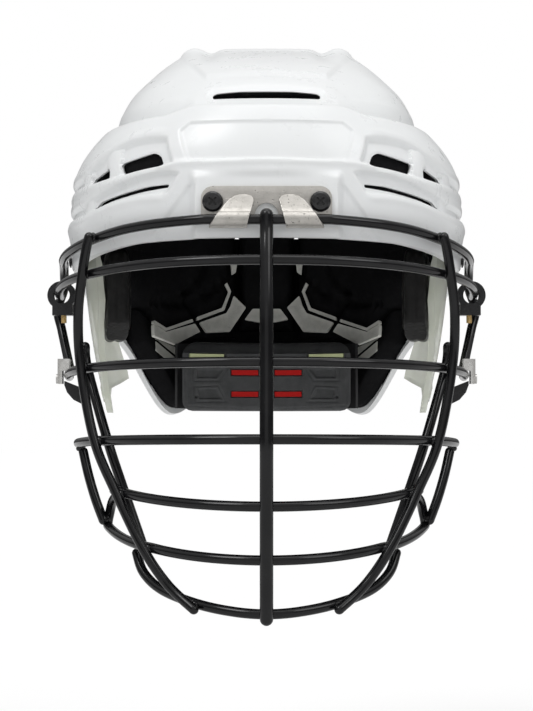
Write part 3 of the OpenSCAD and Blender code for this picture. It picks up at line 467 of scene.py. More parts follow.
def shell_grid(half, rear, *counts):
    """Places s on both sides, each row's place, the form's points and normals, and each point's way round."""
    s = np.concatenate([-half[:0:-1], half])
    levels, place = shell_rows(s, rear, *counts)
    base = form(levels, s[None, :], rear)
    return s, place, base, grid_normals(base), np.tile(arc_of(s), (len(base), 1))


# The front camera in mm, for a photograph of 533 by 711
camera_y, camera_z, focal, tilt = -1100.0, -69.0, 2000.0, math.atan(84.5 / 2000)
photo_x, photo_y = 266.5, 355.5


def seen(p, clamp_y=None):
    """Where the front camera sees points, in the photograph's frame, folded onto its left half."""
    y = p[..., 1] if clamp_y is None else np.minimum(p[..., 1], clamp_y)
    dy, dz = y - camera_y, p[..., 2] - camera_z
    f = dy * math.cos(tilt) + dz * math.sin(tilt)
    u = dz * math.cos(tilt) - dy * math.sin(tilt)
    return photo_x - focal * np.abs(p[..., 0]) / f, photo_y - focal * u / f


def camera_ray(a, b):
    """The direction from the camera through a point of the photograph's frame."""
    forward = np.array([0, math.cos(tilt), math.sin(tilt)])
    up = np.array([0, -math.sin(tilt), math.cos(tilt)])
    d = forward * focal + np.array([1.0, 0, 0]) * (a - photo_x) + up * (photo_y - b)
    return d / np.linalg.norm(d)


def to_segments(x, y, starts, ends):
    """Distance to the nearest of some segments."""
    best = np.full(x.shape, 1e9)
    for (ax, ay), (bx, by) in zip(starts, ends):
        ex, ey = bx - ax, by - ay
        t = np.clip(((x - ax) * ex + (y - ay) * ey) / max(ex * ex + ey * ey, 1e-9), 0, 1)
        best = np.minimum(best, (x - ax - t * ex) ** 2 + (y - ay - t * ey) ** 2)
    return np.sqrt(best)


def inside(x, y, poly):
    """Signed distance to a closed outline, positive inside."""
    poly = np.asarray(poly, float)
    ends = np.roll(poly, -1, axis=0)
    odd = np.zeros(x.shape, bool)
    for (ax, ay), (bx, by) in zip(poly, ends):
        if ay != by:
            odd ^= ((ay > y) != (by > y)) & (x < ax + (y - ay) * (bx - ax) / (by - ay))
    return np.where(odd, 1, -1) * to_segments(x, y, poly, ends)


def to_line(x, y, line):
    """Signed distance to an open line, positive on its lower side (larger y)."""
    line = np.asarray(line, float)
    order = np.argsort(line[:, 0])
    side = np.sign(y - np.interp(x, line[order, 0], line[order, 1]))
    return side * to_segments(x, y, line[:-1], line[1:])


def round_outline(poly, r, steps=5):
    """The outline with its corners rounded to radius r."""
    poly = np.asarray(poly, float)
    out = []
    n = len(poly)
    for i in range(n):
        a, b, c = poly[i - 1], poly[i], poly[(i + 1) % n]
        u, v = (a - b), (c - b)
        lu, lv = np.linalg.norm(u), np.linalg.norm(v)
        d = min(r, 0.45 * lu, 0.45 * lv)
        p, q = b + u / lu * d, b + v / lv * d
        for k in range(steps + 1):
            t = k / steps
            out.append((1 - t) ** 2 * p + 2 * t * (1 - t) * b + t * t * q)
    return np.array(out)


def prism(name, ring, push, pull, grow=1.0):
    """A closed prism through a ring of points, from ring + push to ring + pull."""
    ring = np.asarray(ring)
    c = ring.mean(axis=0)
    n = len(ring)
    lo, hi = ring + push, c + (ring - c) * grow + pull
    me = bpy.data.meshes.new(name)
    faces = [tuple(range(n)), tuple(range(2 * n - 1, n - 1, -1))]
    faces += [(i, (i + 1) % n, n + (i + 1) % n, n + i) for i in range(n)]
    me.from_pydata([tuple(v) for v in np.concatenate([lo, hi]) * MM], [], faces)
    bm = bmesh.new()
    bm.from_mesh(me)
    bmesh.ops.recalc_face_normals(bm, faces=bm.faces)
    bm.to_mesh(me)
    bm.free()
    return new_object(name, me)


def cut(o, cutters):
    """Subtracts the cutters from the piece, before its other modifiers, and removes them."""
    others = list(o.modifiers)
    for mod in others:
        mod.show_viewport = False
    for c in cutters:
        mod = o.modifiers.new("cut", "BOOLEAN")
        mod.object, mod.operation, mod.solver = c, "DIFFERENCE", "EXACT"
    dg = bpy.context.evaluated_depsgraph_get()
    dg.update()
    old = o.data
    o.data = bpy.data.meshes.new_from_object(o.evaluated_get(dg))
    bpy.data.meshes.remove(old)
    for mod in [m for m in o.modifiers if m.type == "BOOLEAN"]:
        o.modifiers.remove(mod)
    for mod in o.modifiers:
        mod.show_viewport = True
    for c in cutters:
        bpy.data.objects.remove(c)


def round_ring(x, y, z, r, stretch=0.0, n=24):
    """A ring round the x axis at x, lengthened along y by stretch."""
    a = np.linspace(0, 2 * np.pi, n, endpoint=False)
    return np.stack([np.full(n, float(x)), y + r * np.cos(a) + np.where(np.cos(a) > 0, stretch, 0),
                     z + r * np.sin(a)], -1)


def drill(m, x, y, z, r, reach_x, stretch=0.0):
    """A cutter along the x axis for a hole on side m."""
    way = np.array([m * reach_x, 0, 0])
    return prism("cutter", round_ring(m * x, y, z, r, stretch), way, -way)


def ring_on(base, arc, first, outline):
    """Points on a shell's form for an outline in mm round it and in height, below row first."""
    middle, pts = arc.shape[1] // 2, []
    for a, b in outline:
        col = np.interp(a, arc[0, middle:], np.arange(middle, arc.shape[1]))
        k = int(col)
        row = np.interp(-b, -base[first:, k, 2], np.arange(first, len(base)))
        i, t, w = int(row), row - int(row), col - k
        pts.append(lerp(lerp(base[i, k], base[i, k + 1], w), lerp(base[i + 1, k], base[i + 1, k + 1], w), t))
    return np.array(pts)


def vent_cutters(ring, centre, weights, push, pull, grow):
    """Prisms through a ring and its mirror image, along the way out from the centre."""
    out = (ring.mean(axis=0) - centre) * weights
    out /= np.linalg.norm(out)
    return [prism("cutter", ring * [m, 1, 1], out * [m, 1, 1] * push, -out * [m, 1, 1] * pull, grow)
            for _, m in SIDES]


# Outlines on the front shell, as the front camera sees its left half
top_panel = [(280, 30), (168, 30), (179, 56), (192.6, 65.4), (206, 77.5), (238, 74.5), (280, 73)]
vent_lip = [(280, 84.9), (240, 85.6), (213, 88.5), (207, 93), (207.5, 99.6), (280, 99.6)]
top_vent = [(213, 98.7), (212.3, 94.6), (215.5, 92), (222, 91.2), (240, 90)]
side_crease = [(206, 60), (192.6, 66.8), (164.4, 84.2), (145, 101), (128.3, 117.7), (112, 136)]
front_facet = [(280, 74), (206, 77.5), (192.6, 93.6), (188.5, 99), (186, 108), (280, 108)]
forehead = [(300, 119.7), (240, 120.0), (189.9, 121.7), (179.2, 130), (187.9, 161.2), (240, 159.2), (300, 158.6)]
rail_top = [(167, 135.8), (149.7, 136.4), (131, 140.4), (117.6, 147.1), (104.2, 156.5), (90.8, 168.6), (83, 177.3)]
rail_mid = [(173.8, 162.3), (161, 166.8), (121.6, 176.4), (100, 182), (86, 187)]
hole_a = [(119.6, 162.5), (121.6, 173.3), (160.4, 164.5), (157.4, 154.8), (151, 151.4)]
hole_b = [(90.5, 179.3), (105.5, 167.9), (108.2, 169.9), (107.5, 177.3), (90.5, 184.4)]
mid_low = [(179.8, 171.9), (171, 170.4), (155, 171.7), (139, 175.3), (117.6, 184.6), (97.5, 195.4), (84, 204.5)]
low_top = [(167, 194), (154, 194.3), (139, 195.6), (110.9, 202.7), (95, 210), (84, 216.4)]
low_slot = [(164.2, 184), (164.2, 187.2), (139, 191.4), (110.9, 199.6), (93, 208.2), (98.8, 200.9),
            (117.6, 193.8), (144.4, 186.4)]
clip_panel = [(290, 180), (196, 181.2), (188, 186.3), (167.8, 215.4), (158, 232), (150, 262), (290, 262)]
ridge_mid = [(300, 160.2), (240, 160.6), (205, 162), (173.8, 163.3), (161, 167.8)]
posts = (((106.5, 119), rail_mid, rail_top), ((82.0, 88.5), rail_mid, rail_top),
         ((84.5, 91.0), low_top, mid_low))


def rim_fade(place, count):
    """1 on the lowest row, falling to 0 over the last rows."""
    return np.clip(1 - np.arange(len(place))[::-1] / count, 0, 1)[:, None]


def front_shell():
    half = np.concatenate([np.linspace(0, 0.93, 170), np.linspace(0.94, 1 + (seam_y - front_pole) / tail, 46)])
    s, place, base, normals, arc = shell_grid(half, False, 76, 7, 70, 24)
    x, z = np.abs(base[..., 0]), base[..., 2]
    on_band = place[:, None] * np.ones_like(z)
    px, py = seen(base + band_rise * on_band[..., None] * normals, front_pole)
    # outlines given as seen become outlines on the surface, in mm round the form and in height
    front = (np.abs(s) < 0.93) & (s <= 0)
    flat_px, flat_py, flat_arc, flat_z = (g[:, front][on_band[:, front] > 0.5] for g in (px, py, arc, z))

    def on_surface(points):
        out = []
        for a, b in points:
            d = (flat_px - a) ** 2 + (flat_py - b) ** 2
            k = np.argsort(d)[:6]
            w = 1 / (d[k] + 0.02)
            across = -(a - photo_x) * 0.5 if a >= photo_x else (flat_arc[k] * w).sum() / w.sum()
            out.append((across, (flat_z[k] * w).sum() / w.sum()))
        return np.array(out)

    far = float(arc_of(np.array([1.1]))[0])
    lines = [on_surface(p) for p in (rail_top, rail_mid, mid_low, low_top)]
    recess_a, recess_b = (
        np.concatenate([upper, [(far, upper[-1][1] - 1), (far, lower[-1][1] - 0.5)], lower[::-1]])
        for upper, lower in (lines[:2], lines[2:]))
    rise = band_rise * smooth(0.1, 1.0, on_band)
    band = smooth(0.5, 1.0, on_band)
    for outline, depth, start, end in ((on_surface(forehead), 0.9, -0.2, 0.9), (recess_a, 2.7, -0.3, 2.4),
                                       (recess_b, 2.2, -0.2, 2.0), (on_surface(clip_panel), 1.0, -1.2, 1.0)):
        rise = rise - depth * smooth(start, end, inside(arc, z, outline)) * band
    # edges that catch the light: along the middle ridge and over the rails
    d = np.abs(to_line(arc, -z, on_surface(ridge_mid) * [1, -1]))
    rise = rise + 0.7 * bell(d, 1.5) * band
    for line, side in zip(lines, (1, -1, 1, -1)):
        line = np.concatenate([line, [(far, line[-1][1] - 1)]])
        d = to_line(arc, -z, line * [1, -1]) * side
        fade = smooth(line[0][0] - 1, line[0][0] + 6, arc) * (1 - smooth(far - 4, far + 4, arc))
        rise = rise + 0.5 * bell(d + 2.2, 1.8) * fade * band
    # posts across the recesses
    for (a, b), low, high in posts:
        mid = (a + b) / 2
        ends = [(mid + step, np.interp(mid, *np.array(line)[::-1].T))
                for step, line in ((-1.2, low), (1.2, high))]
        m = on_surface(ends)
        width = abs(np.diff(on_surface([(a, ends[0][1]), (b, ends[0][1])])[:, 0])[0])
        d = np.abs(arc - np.interp(z, m[:, 1], m[:, 0]))
        between = smooth(m[0][1] - 2, m[0][1], z) * (1 - smooth(m[1][1], m[1][1] + 2, z))
        rise = np.maximum(rise, lerp(-9, 1.7 - 0.5 * (d / width * 2) ** 2, between * (d < width * 0.62)))
    holes = [on_surface(h) for h in (hole_a, hole_b, low_slot)]
    for h in holes:
        rise = rise - 0.6 * np.clip(1 + inside(arc, z, h) / 1.6, 0, 1) ** 2
    # crown: raised panel with two ridges, soft facets beside it, and the top vent's lip
    panel = smooth(-0.7, 0.9, inside(px, py, top_panel) / 2)
    ridges = 1.3 * bell(x - 40.5, 4.6) - 2.3 * bell(x - 30.5, 4.2)
    up = 0.7 * panel + (1 - smooth(50, 66, py)) * ridges
    up = up - 0.7 * smooth(-3.5, 3.5, to_line(px, py, side_crease) / 2) * (1 - panel)
    up = up + 0.6 * smooth(-3, 3, inside(px, py, front_facet) / 2)
    up = up - 0.9 * smooth(-0.6, 1.4, inside(px, py, vent_lip) / 2)
    rise = rise + (1 - smooth(0, 0.2, on_band)) * up
    # rounded lower rim, and the flat boss behind the clip
    rim = rim_fade(place, 5.0)
    rise = rise - 1.0 * rim ** 2
    outer = base + rise[..., None] * normals
    boss = (1 - smooth(34.5, 37.5, x)) * (1 - smooth(60, 64.5, z)) * (on_band > 0.9)
    outer[..., 1] = lerp(outer[..., 1], boss_y + 1.0 * rim ** 2, boss)
    inner = base - wall * normals
    inner[..., 1] = lerp(inner[..., 1], boss_y + boss_t, boss)
    o = add_mesh("front_shell_form", *skin(outer, inner, fold=True), "white", "helmet", ("front_shell",), 38)
    weld_mesh(o)
    cutters = []
    first = int(np.argmax(place > 0.99))
    for h, r in zip(holes, (2.2, 1.6, 1.0)):
        ring = ring_on(base, arc, first, round_outline(h, r))
        cutters += vent_cutters(ring, [0, 45, 62], [1, 1, 0.15], 9, 8, 1.1)
    # the top vent, cut straight back where the crown stands behind it
    whole = top_vent + [(2 * photo_x - a, b) for a, b in top_vent[::-1]]
    middle = len(s) // 2
    vent_y = base[np.abs(py[:, middle] - 94).argmin(), middle, 1]
    rays = np.array([camera_ray(a, b) for a, b in round_outline(whole, 3.0)])
    ring = np.array([0, camera_y, camera_z]) + rays * (vent_y - camera_y) / rays[:, 1:2]
    cutters.append(prism("cutter", ring, np.array([0, -14, 0]), np.array([0, 14, 0])))
    cutters += [drill(m, 105, 26, height, 2.2, 12, stretch=12) for _, m in SIDES for height in (40, 59)]
    cut(o, cutters)


# Relief and vents on the rear shell, in mm round it and in height: outline, then depth and softness or radius
rear_recesses = (
    ([(-60, 85), (52, 85), (70, 81), (118, 77), (118, 69), (64, 68), (48, 71), (-60, 71)], 2.0, 2.2),
    ([(-60, 62), (60, 62), (120, 58), (120, 51), (64, 52), (-60, 54)], 1.6, 2.0))
rear_vents = (
    ([(10, 81.5), (42, 81), (46, 74.5), (12, 75)], 2.2),
    ([(70, 78.5), (108, 75), (108, 70.5), (73, 72)], 2.0),
    ([(14, 59.8), (62, 59.4), (100, 56.2), (100, 53.6), (62, 56.2), (14, 56.6)], 1.1))
nape_field = [(-60, 30), (24, 30), (34, 22), (30, -30), (-60, -30)]


def rear_shell():
    end = 1 + (rear_pole - tongue_y) / tail
    step = [1.01, 1.02, 1.03, 1.0345, 1.039, 1.045]
    half = np.concatenate([np.linspace(0, 1, 130), step, np.linspace(1.08, end, 12)])
    s, place, base, normals, arc = shell_grid(half, True, 44, 6, 56, 70)
    sa, z = np.abs(s)[None, :], base[..., 2]
    on_band = place[:, None] * np.ones_like(z)
    lip = smooth(1.0335, 1.0395, sa)
    rise = band_rise * smooth(0.1, 1.0, on_band)
    band = smooth(0.5, 1.0, on_band)
    mid = 1 - smooth(0.90, 1.0, sa)
    # moulded relief: two recesses with vents in them, a waist, and a channel over the lobes
    for outline, depth, soft in rear_recesses:
        rise = rise - depth * smooth(-0.3, soft, inside(arc, z, outline)) * band * mid
    for outline, _ in rear_vents:
        rise = rise - 0.6 * np.clip(1 + inside(arc, z, outline) / 1.6, 0, 1) ** 2
    rise = rise - 1.1 * mid * bell(arc - 58 - 0.25 * (z - 20), 3.0) * (1 - smooth(26, 44, z))
    rise = rise + 0.9 * mid * bell(z - 40 + 22 * smooth(0.15, 0.7, sa), 3.2)
    rise = rise - 0.9 * smooth(-1.0, 1.2, inside(arc, z, nape_field)) * mid
    rise = lerp(rise - 1.0 * rim_fade(place, 4.0) ** 2, -(wall + shell_gap), lip)
    outer = base + rise[..., None] * normals
    inner = base - (wall + (wall + shell_gap) * lip)[..., None] * normals
    o = add_mesh("rear_shell_form", *skin(outer, inner, fold=True), "white", "rear", ("rear_shell",), 38)
    weld_mesh(o)
    cutters = []
    first = int(np.argmax(place > 0.99))
    for outline, r in rear_vents:
        ring = ring_on(base, arc, first, round_outline(outline, r))
        cutters += vent_cutters(ring, [0, 60, 0], [1, 1, 0], 12, 9, 1.08)
    cut(o, cutters)
    # painted shade: the white shell's inside between the pads, down to a few mm above the rim, takes the black foam
    # material where it lies in shade
    o.data.materials.append(MAT["foam"])
    for f in o.data.polygons:
        c = f.center / MM
        away = Vector((c.x, (c.y - 60) * 1.2, (c.z - 40) * (0.8 if c.z > 60 else 0.0))).normalized()
        place_s = abs(math.atan2(c.x, c.y - 50)) / (math.pi / 2)
        if f.normal.dot(away) < -0.35 and c.z > nape_edge(np.array([place_s]))[0] + 7:
            f.material_index = 1


# The mask's wires
def ring_at(c, way, side, radius, count):
    """A ring of points round c, across the way."""
    a = np.linspace(0, 2 * np.pi, count, endpoint=False)
    return c + radius * (np.cos(a)[:, None] * side + np.sin(a)[:, None] * np.cross(way, side))


def tube(node, path, radius=wire_r, count=20, name=None):
    """Round wire along a path of points, with domed ends, in a node's place."""
    p = np.asarray(path, float)
    t = np.gradient(p, axis=0)
    t /= np.linalg.norm(t, axis=1, keepdims=True)
    side, frames = np.array([0.3, 0.2, 1.0]), []
    for way in t:
        side = side - side.dot(way) * way
        side /= np.linalg.norm(side)
        frames.append(side)
    dome = [(radius * math.sin(a), radius * math.cos(a)) for a in np.radians([88, 65, 42, 20])]
    rings = [ring_at(p[0] - t[0] * out, t[0], frames[0], r, count) for out, r in dome]
    rings += [ring_at(*station, radius, count) for station in zip(p, t, frames)]
    rings += [ring_at(p[-1] + t[-1] * out, t[-1], frames[-1], r, count) for out, r in dome[::-1]]
    last = (len(rings) - 1) * count
    faces = grid_faces(len(rings), count)
    faces += [tuple(range(count))[::-1], tuple(range(last, last + count))]
    o = add_mesh(name or node + "_form", np.concatenate(rings), faces, "wire", "mask", (node,))


# The cross wires: half width and depth of the superellipse, its front, heights in the middle, at the side bar
# and at the end, where the side bar and the end lie, and the power
W = half_w
brow_row = [W + 9.6, 140, hinge_y - 5, 18.8, 15.2, 9.8, W - 14.4, W + 9.4, 2.35]
eye_row = [W + 3.6, 140, hinge_y - 11.5, -31.3, -32.5, -34.5, W - 13.8, W + 3.3, 2.35]
cheek_row = [W - 0.5, 140, hinge_y - 15.5, -68.7, -69.3, -70.6, W - 21.3, W - 5.1, 2.2]
mouth_row = [W - 14, 105, hinge_y - 13, -101, -95.4, -94.5, W - 32.5, W - 27, 2]
jaw_row = [W - 16, 118, hinge_y - 9, -127, -122.2, -113.5, W - 46, W - 21.5, 2]
rows = [brow_row, eye_row, cheek_row, mouth_row, jaw_row]


def row_angle(r, x):
    return math.asin(min(x / r[0], 1) ** (r[8] / 2))


def row_point(r, a):
    x = r[0] * abs(math.sin(a)) ** (2 / r[8]) * (1 if a >= 0 else -1)
    side, end, b = row_angle(r, r[6]), row_angle(r, r[7]), abs(a)
    z = lerp(r[3], r[4], (b / side) ** 2) if b < side else lerp(r[4], r[5], ((b - side) / (end - side)) ** 1.4)
    return np.array([x, r[2] + r[1] * (1 - math.cos(a) ** (2 / r[8])), z])


def row_path(r, count=90):
    end = row_angle(r, r[7])
    return np.array([row_point(r, end * (2 * i / count - 1)) for i in range(count + 1)])


def outward(r, a):
    v = np.array([r[1] * math.sin(a) ** (2 - 2 / r[8]), -r[0] * math.cos(a) ** (2 - 2 / r[8]), 0])
    return v / np.linalg.norm(v)


def mirrored(p):
    p = np.asarray(p, float)
    return np.concatenate([flip_x(p[:0:-1]), p])


cross_d = wire_d - weld
chin_y = hinge_y - 1
chin_half = [[0, chin_y, -153.5], [16, chin_y + 2.5, -152.5], [34, chin_y + 12, -149.5], [52, chin_y + 29, -144],
             [62, chin_y + 39, -136], [66, chin_y + 46, -126.5]]
chin_path = smooth_path(mirrored(chin_half), 80)


def over_shell(s, z):
    """A point of the top wire, which runs just over the shell's band."""
    g = band_rise + wire_r + 2.2
    lv = level_at(z)
    return form(np.array([lv[0] + g, lv[1] + g, 0, z]), np.array(s), False)


top_bend = [over_shell(s, z) for s, z in (
    (0.24, 38.2), (0.33, 37.2), (0.43, 35.6), (0.55, 33), (0.66, 30.8), (0.77, 28.9), (0.87, 27.6), (0.95, 26.8))]
top_bend += [np.array([W + x, hinge_y + y, z]) for x, y, z in (
    (7.8, 127, 23.2), (8.4, 131.5, 14.5), (11.8, 131.5, 3), (9.2, 128, -8), (6.2, 121, -19), (3.1, 113, -30))]


def top_path():
    bend = [np.array([x, hinge_y, hinge_z]) for x in (hinge_half - 8, hinge_half)] + top_bend
    n = len(bend) - 1
    half = np.array([spline(bend, i / 120) for i in range(120) if i / 120 * n >= 1] + [bend[-1]])
    straight = np.array([[x, hinge_y, hinge_z] for x in np.linspace(-hinge_half, hinge_half, 24)])[1:-1]
    return np.concatenate([flip_x(half[::-1]), straight, half])


def bar_station(r, x, side):
    """Where a bar crosses a row, on its outer (1) or inner (-1) side."""
    a = row_angle(r, x)
    return row_point(r, a) + side * cross_d * outward(r, a)


def row_end(r):
    return row_point(r, row_angle(r, r[7]))


bar_top = over_shell(0.54, 33.2) + cross_d * np.array([0.62, -0.78, 0])
side_bar = smooth_path(
    [bar_top + [0, 0, 0.5], bar_top + [1.4, 0.3, -5.2], bar_station(brow_row, brow_row[6], 1),
     np.array([W - 8.4, hinge_y + 37.4, -6])] + [bar_station(r, r[6], 1) for r in rows[1:]]
    + [np.array([49, chin_y + 15, -140]), np.array([35.6, chin_y + 7.4, -151.8])], 120)
rear_x = [W - 7.6, W - 19.5, W - 28, W - 37.5]
rear_bar = smooth_path([bar_station(eye_row, rear_x[0], -1) + [1.6, 1.5, 12]]
                       + [bar_station(r, x, -1) for r, x in zip(rows[1:], rear_x)], 80)
brace_top, brace_low = row_end(cheek_row) + [-2.6, 0, -cross_d], row_end(jaw_row) + [2.2, -2.6, 2.9]
jaw_brace = smooth_path([brace_top, lerp(brace_top, brace_low, 0.35) + [0.8, -0.6, 0],
                         lerp(brace_top, brace_low, 0.7) + [0.8, -0.6, 0], brace_low], 50)
jaw_turn = [np.array(p) for p in ([W - 22.7, hinge_y + 66.5, -106], [W - 25, hinge_y + 58, -100],
                                  [W - 30.2, hinge_y + 42, -95])]


def jaw_path():
    bend = list(row_path(jaw_row, 22)[-2:]) + jaw_turn
    turn = [spline(bend, 0.25 + 0.75 * i / 40) for i in range(1, 41)]
    return np.concatenate([flip_x(turn[::-1]), row_path(jaw_row), turn])


off = bar_r + wire_r - weld
centre_bar = smooth_path(
    [[0, hinge_y - off, hinge_z + 1.6], [0, hinge_y - off - 0.6, hinge_z - 6],
     [0, brow_row[2] - off, brow_row[3]], [0, hinge_y - 16, -8]] + [[0, r[2] - off, r[3]] for r in rows[1:]]
    + [[0, chin_y - off - 3.5, -141.5], [0, chin_y - off, -155.4]], 120)


def crossings():
    """Where two wires are welded: the point midway between their nearest points, and the way between them."""
    wires = [top_path()] + [row_path(r) for r in rows[:4]] + [jaw_path(), chin_path]
    bars = [centre_bar] + [p for bar in (side_bar, rear_bar, jaw_brace) for p in (bar, flip_x(bar))]
    for bar in bars:
        for w in wires:
            d = np.linalg.norm(bar[:, None] - w[None], axis=2)
            i, k = np.unravel_index(d.argmin(), d.shape)
            if d[i, k] < 6.4:
                yield (bar[i] + w[k]) / 2, bar[i] - w[k]


def weld_beads():
    """A flattened ball on each crossing."""
    high, wide, n, m = 1.9, 2.75, 14, 8
    verts, faces = [], []
    for c, axis in crossings():
        axis = axis / np.linalg.norm(axis)
        u = np.cross(axis, [0.1, 0.2, 1.0])
        u /= np.linalg.norm(u)
        w = np.cross(axis, u)
        o = len(verts)
        turns = [2 * math.pi * k / n for k in range(n)]
        for a in (math.pi * i / m for i in range(1, m)):
            verts += [c + axis * high * math.cos(a) + (u * math.cos(b) + w * math.sin(b)) * wide * math.sin(a)
                      for b in turns]
        verts += [c + axis * high, c - axis * high]
        faces += [tuple(o + i for i in f) for f in grid_faces(m - 1, n)]
        for k in range(n):
            k2 = (k + 1) % n
            faces.append((o + k, o + (m - 1) * n, o + k2))
            faces.append((o + (m - 2) * n + k, o + (m - 2) * n + k2, o + (m - 1) * n + 1))
    add_mesh("weld_beads", verts, faces, "wire", "mask")


def mask():
    tube("centre_bar", centre_bar, bar_r, 24)
    tube("top_frame_wire", top_path(), name="top_frame_form")
    for name, r in zip(("brow", "eye", "cheek", "mouth"), rows):
        tube(name + "_wire", row_path(r))
    tube("jaw_wire", jaw_path())
    tube("chin_wire", chin_path)
    for name, p in (("side_bar", side_bar), ("rear_bar", rear_bar), ("jaw_brace", jaw_brace)):
        tube(name + "_left", p)
        tube(name + "_right", flip_x(p))
    weld_beads()


front_shell()
rear_shell()
mask()


# Pads on the inside of the shells. They lie on a grid of columns round from the middle and rows down from the
# crown: the first rows are the crown's levels, the next have the heights in row_z, the last three reach the rim.
front_cols = [0, 0.085, 0.17, 0.235, 0.295, 0.36, 0.42, 0.475, 0.54, 0.6, 0.66, 0.73, 0.8, 0.9, 1, 1.2, 1.524,
              1.848]
rear_cols = [0, 0.12, 0.24, 0.36, 0.48, 0.6, 0.72, 0.84, 0.94, 1.03, 1.04, 1.05, 1.35, 1.7]
row_z = [99, 90, 84, 79.3, 73.3, 66, 60.8, 57.8, rim_z]
crown_count, row_count = 9, 20
rim_row = row_count - 3
pad_near, rear_near, forehead_near = 2.7, 3.2, 3.0


def lining(rear, j, k):
    """Points on the shells' form at rows j and columns k, both fractional."""
    j, k = np.meshgrid(j, k, indexing="ij")
    cols, last = rear_cols if rear else front_cols, crown_count - 1
    s = np.interp(np.abs(k), np.arange(len(cols)), cols) * np.sign(k)
    drop = ledge_fall(s, rear)
    up = np.array([[spline(crown_levels, v / last) for v in row] for row in np.clip(j, 0, last)])
    up[..., 3] -= drop * np.clip(j - last + 1, 0, 1)
    z = np.interp(j, np.arange(crown_count, rim_row + 1), row_z)
    z = z - drop * np.clip(crown_count + 1 - j, 0, 1) * (j > last)
    edge = nape_edge(s) if rear else brow_edge(s)
    z = np.where(j > rim_row, lerp(rim_z, edge, np.clip(j - rim_row, 0, 3) / 3), z)
    return form(lerp(up, level_at(z), np.clip(j - last, 0, 1)[..., None]), s, rear)


def lining_normals(rear, j, k):
    """The way out of the form at the same rows and columns."""
    e, j, k = 0.03, np.asarray(j), np.asarray(k)
    down = lining(rear, j + e, k) - lining(rear, np.maximum(j - e, 0), k)
    across = lining(rear, j, k + e) - lining(rear, j, k - e)
    n = np.cross(down, across)
    n /= np.maximum(np.linalg.norm(n, axis=2, keepdims=True), 1e-9)
    p = lining(rear, j, k) - [0, 27, 40]
    n *= np.sign((n * p).sum(axis=2, keepdims=True) + 1e-9)
    if np.min(j) <= 0:
        n[0] = [0, 0, 1]
    return n


def plump(t):
    """1 in the middle of 0 to 1, falling to 0 in a round edge."""
    return np.sqrt(np.maximum(1 - np.abs(2 * t - 1) ** 10, 0))


def body_of_node(node):
    return next(body for body, names in frame["record"]["behaviour"]["bodies"].items() if node in names)


def pad_piece(node, rear, k, j, near, far, counts, grooves=(), fold=False, m=1):
    """A foam pad that follows the shell: a crowned face, rounded and drawn-in sides, and moulded channels."""
    u, v = np.linspace(0, 1, counts[1]), np.linspace(0, 1, counts[0])
    jj, kk = lerp(j[0], j[1], v), lerp(k[0], k[1], u)
    base, normals = lining(rear, jj, kk), lining_normals(rear, jj, kk)
    crown = plump(u)[None, :] * (np.sqrt(1 - v ** 10) if fold else plump(v))[:, None]
    depth = near + (far - near) * (0.35 + 0.65 * crown)
    x, z = seen(base - depth[..., None] * normals)
    for line, width, deep in grooves:
        depth = depth - deep * np.exp(-(np.abs(to_line(x, z, line)) / width) ** 4)
    depth = np.maximum(depth, near + 1.5)
    inner, outer = base - depth[..., None] * normals, base - near * normals
    if not rear:
        # behind the boss the pads keep clear of its flat back
        low = (jj >= 12)[:, None] & (np.abs(base[..., 0]) < boss_half + 6)
        for g in (outer, inner):
            g[..., 1] = np.where(low, np.maximum(g[..., 1], boss_y + boss_t + contact), g[..., 1])
    verts, faces = skin(outer, inner, fold=fold)
    o = add_mesh(node + "_form", verts * [m, 1, 1], faces, "foam", body_of_node(node), (node,))
    weld_mesh(o)


def lining_tree(rows, cols, depth):
    """The rear pads' face, for rays from the camera: rows and columns from, to and how many."""
    j, k = np.linspace(*rows), np.linspace(*cols)
    g = lining(True, j, k) - depth * lining_normals(True, j, k)
    return BVHTree.FromPolygons([tuple(p) for p in g.reshape(-1, 3)], grid_faces(*g.shape[:2], closed=False))


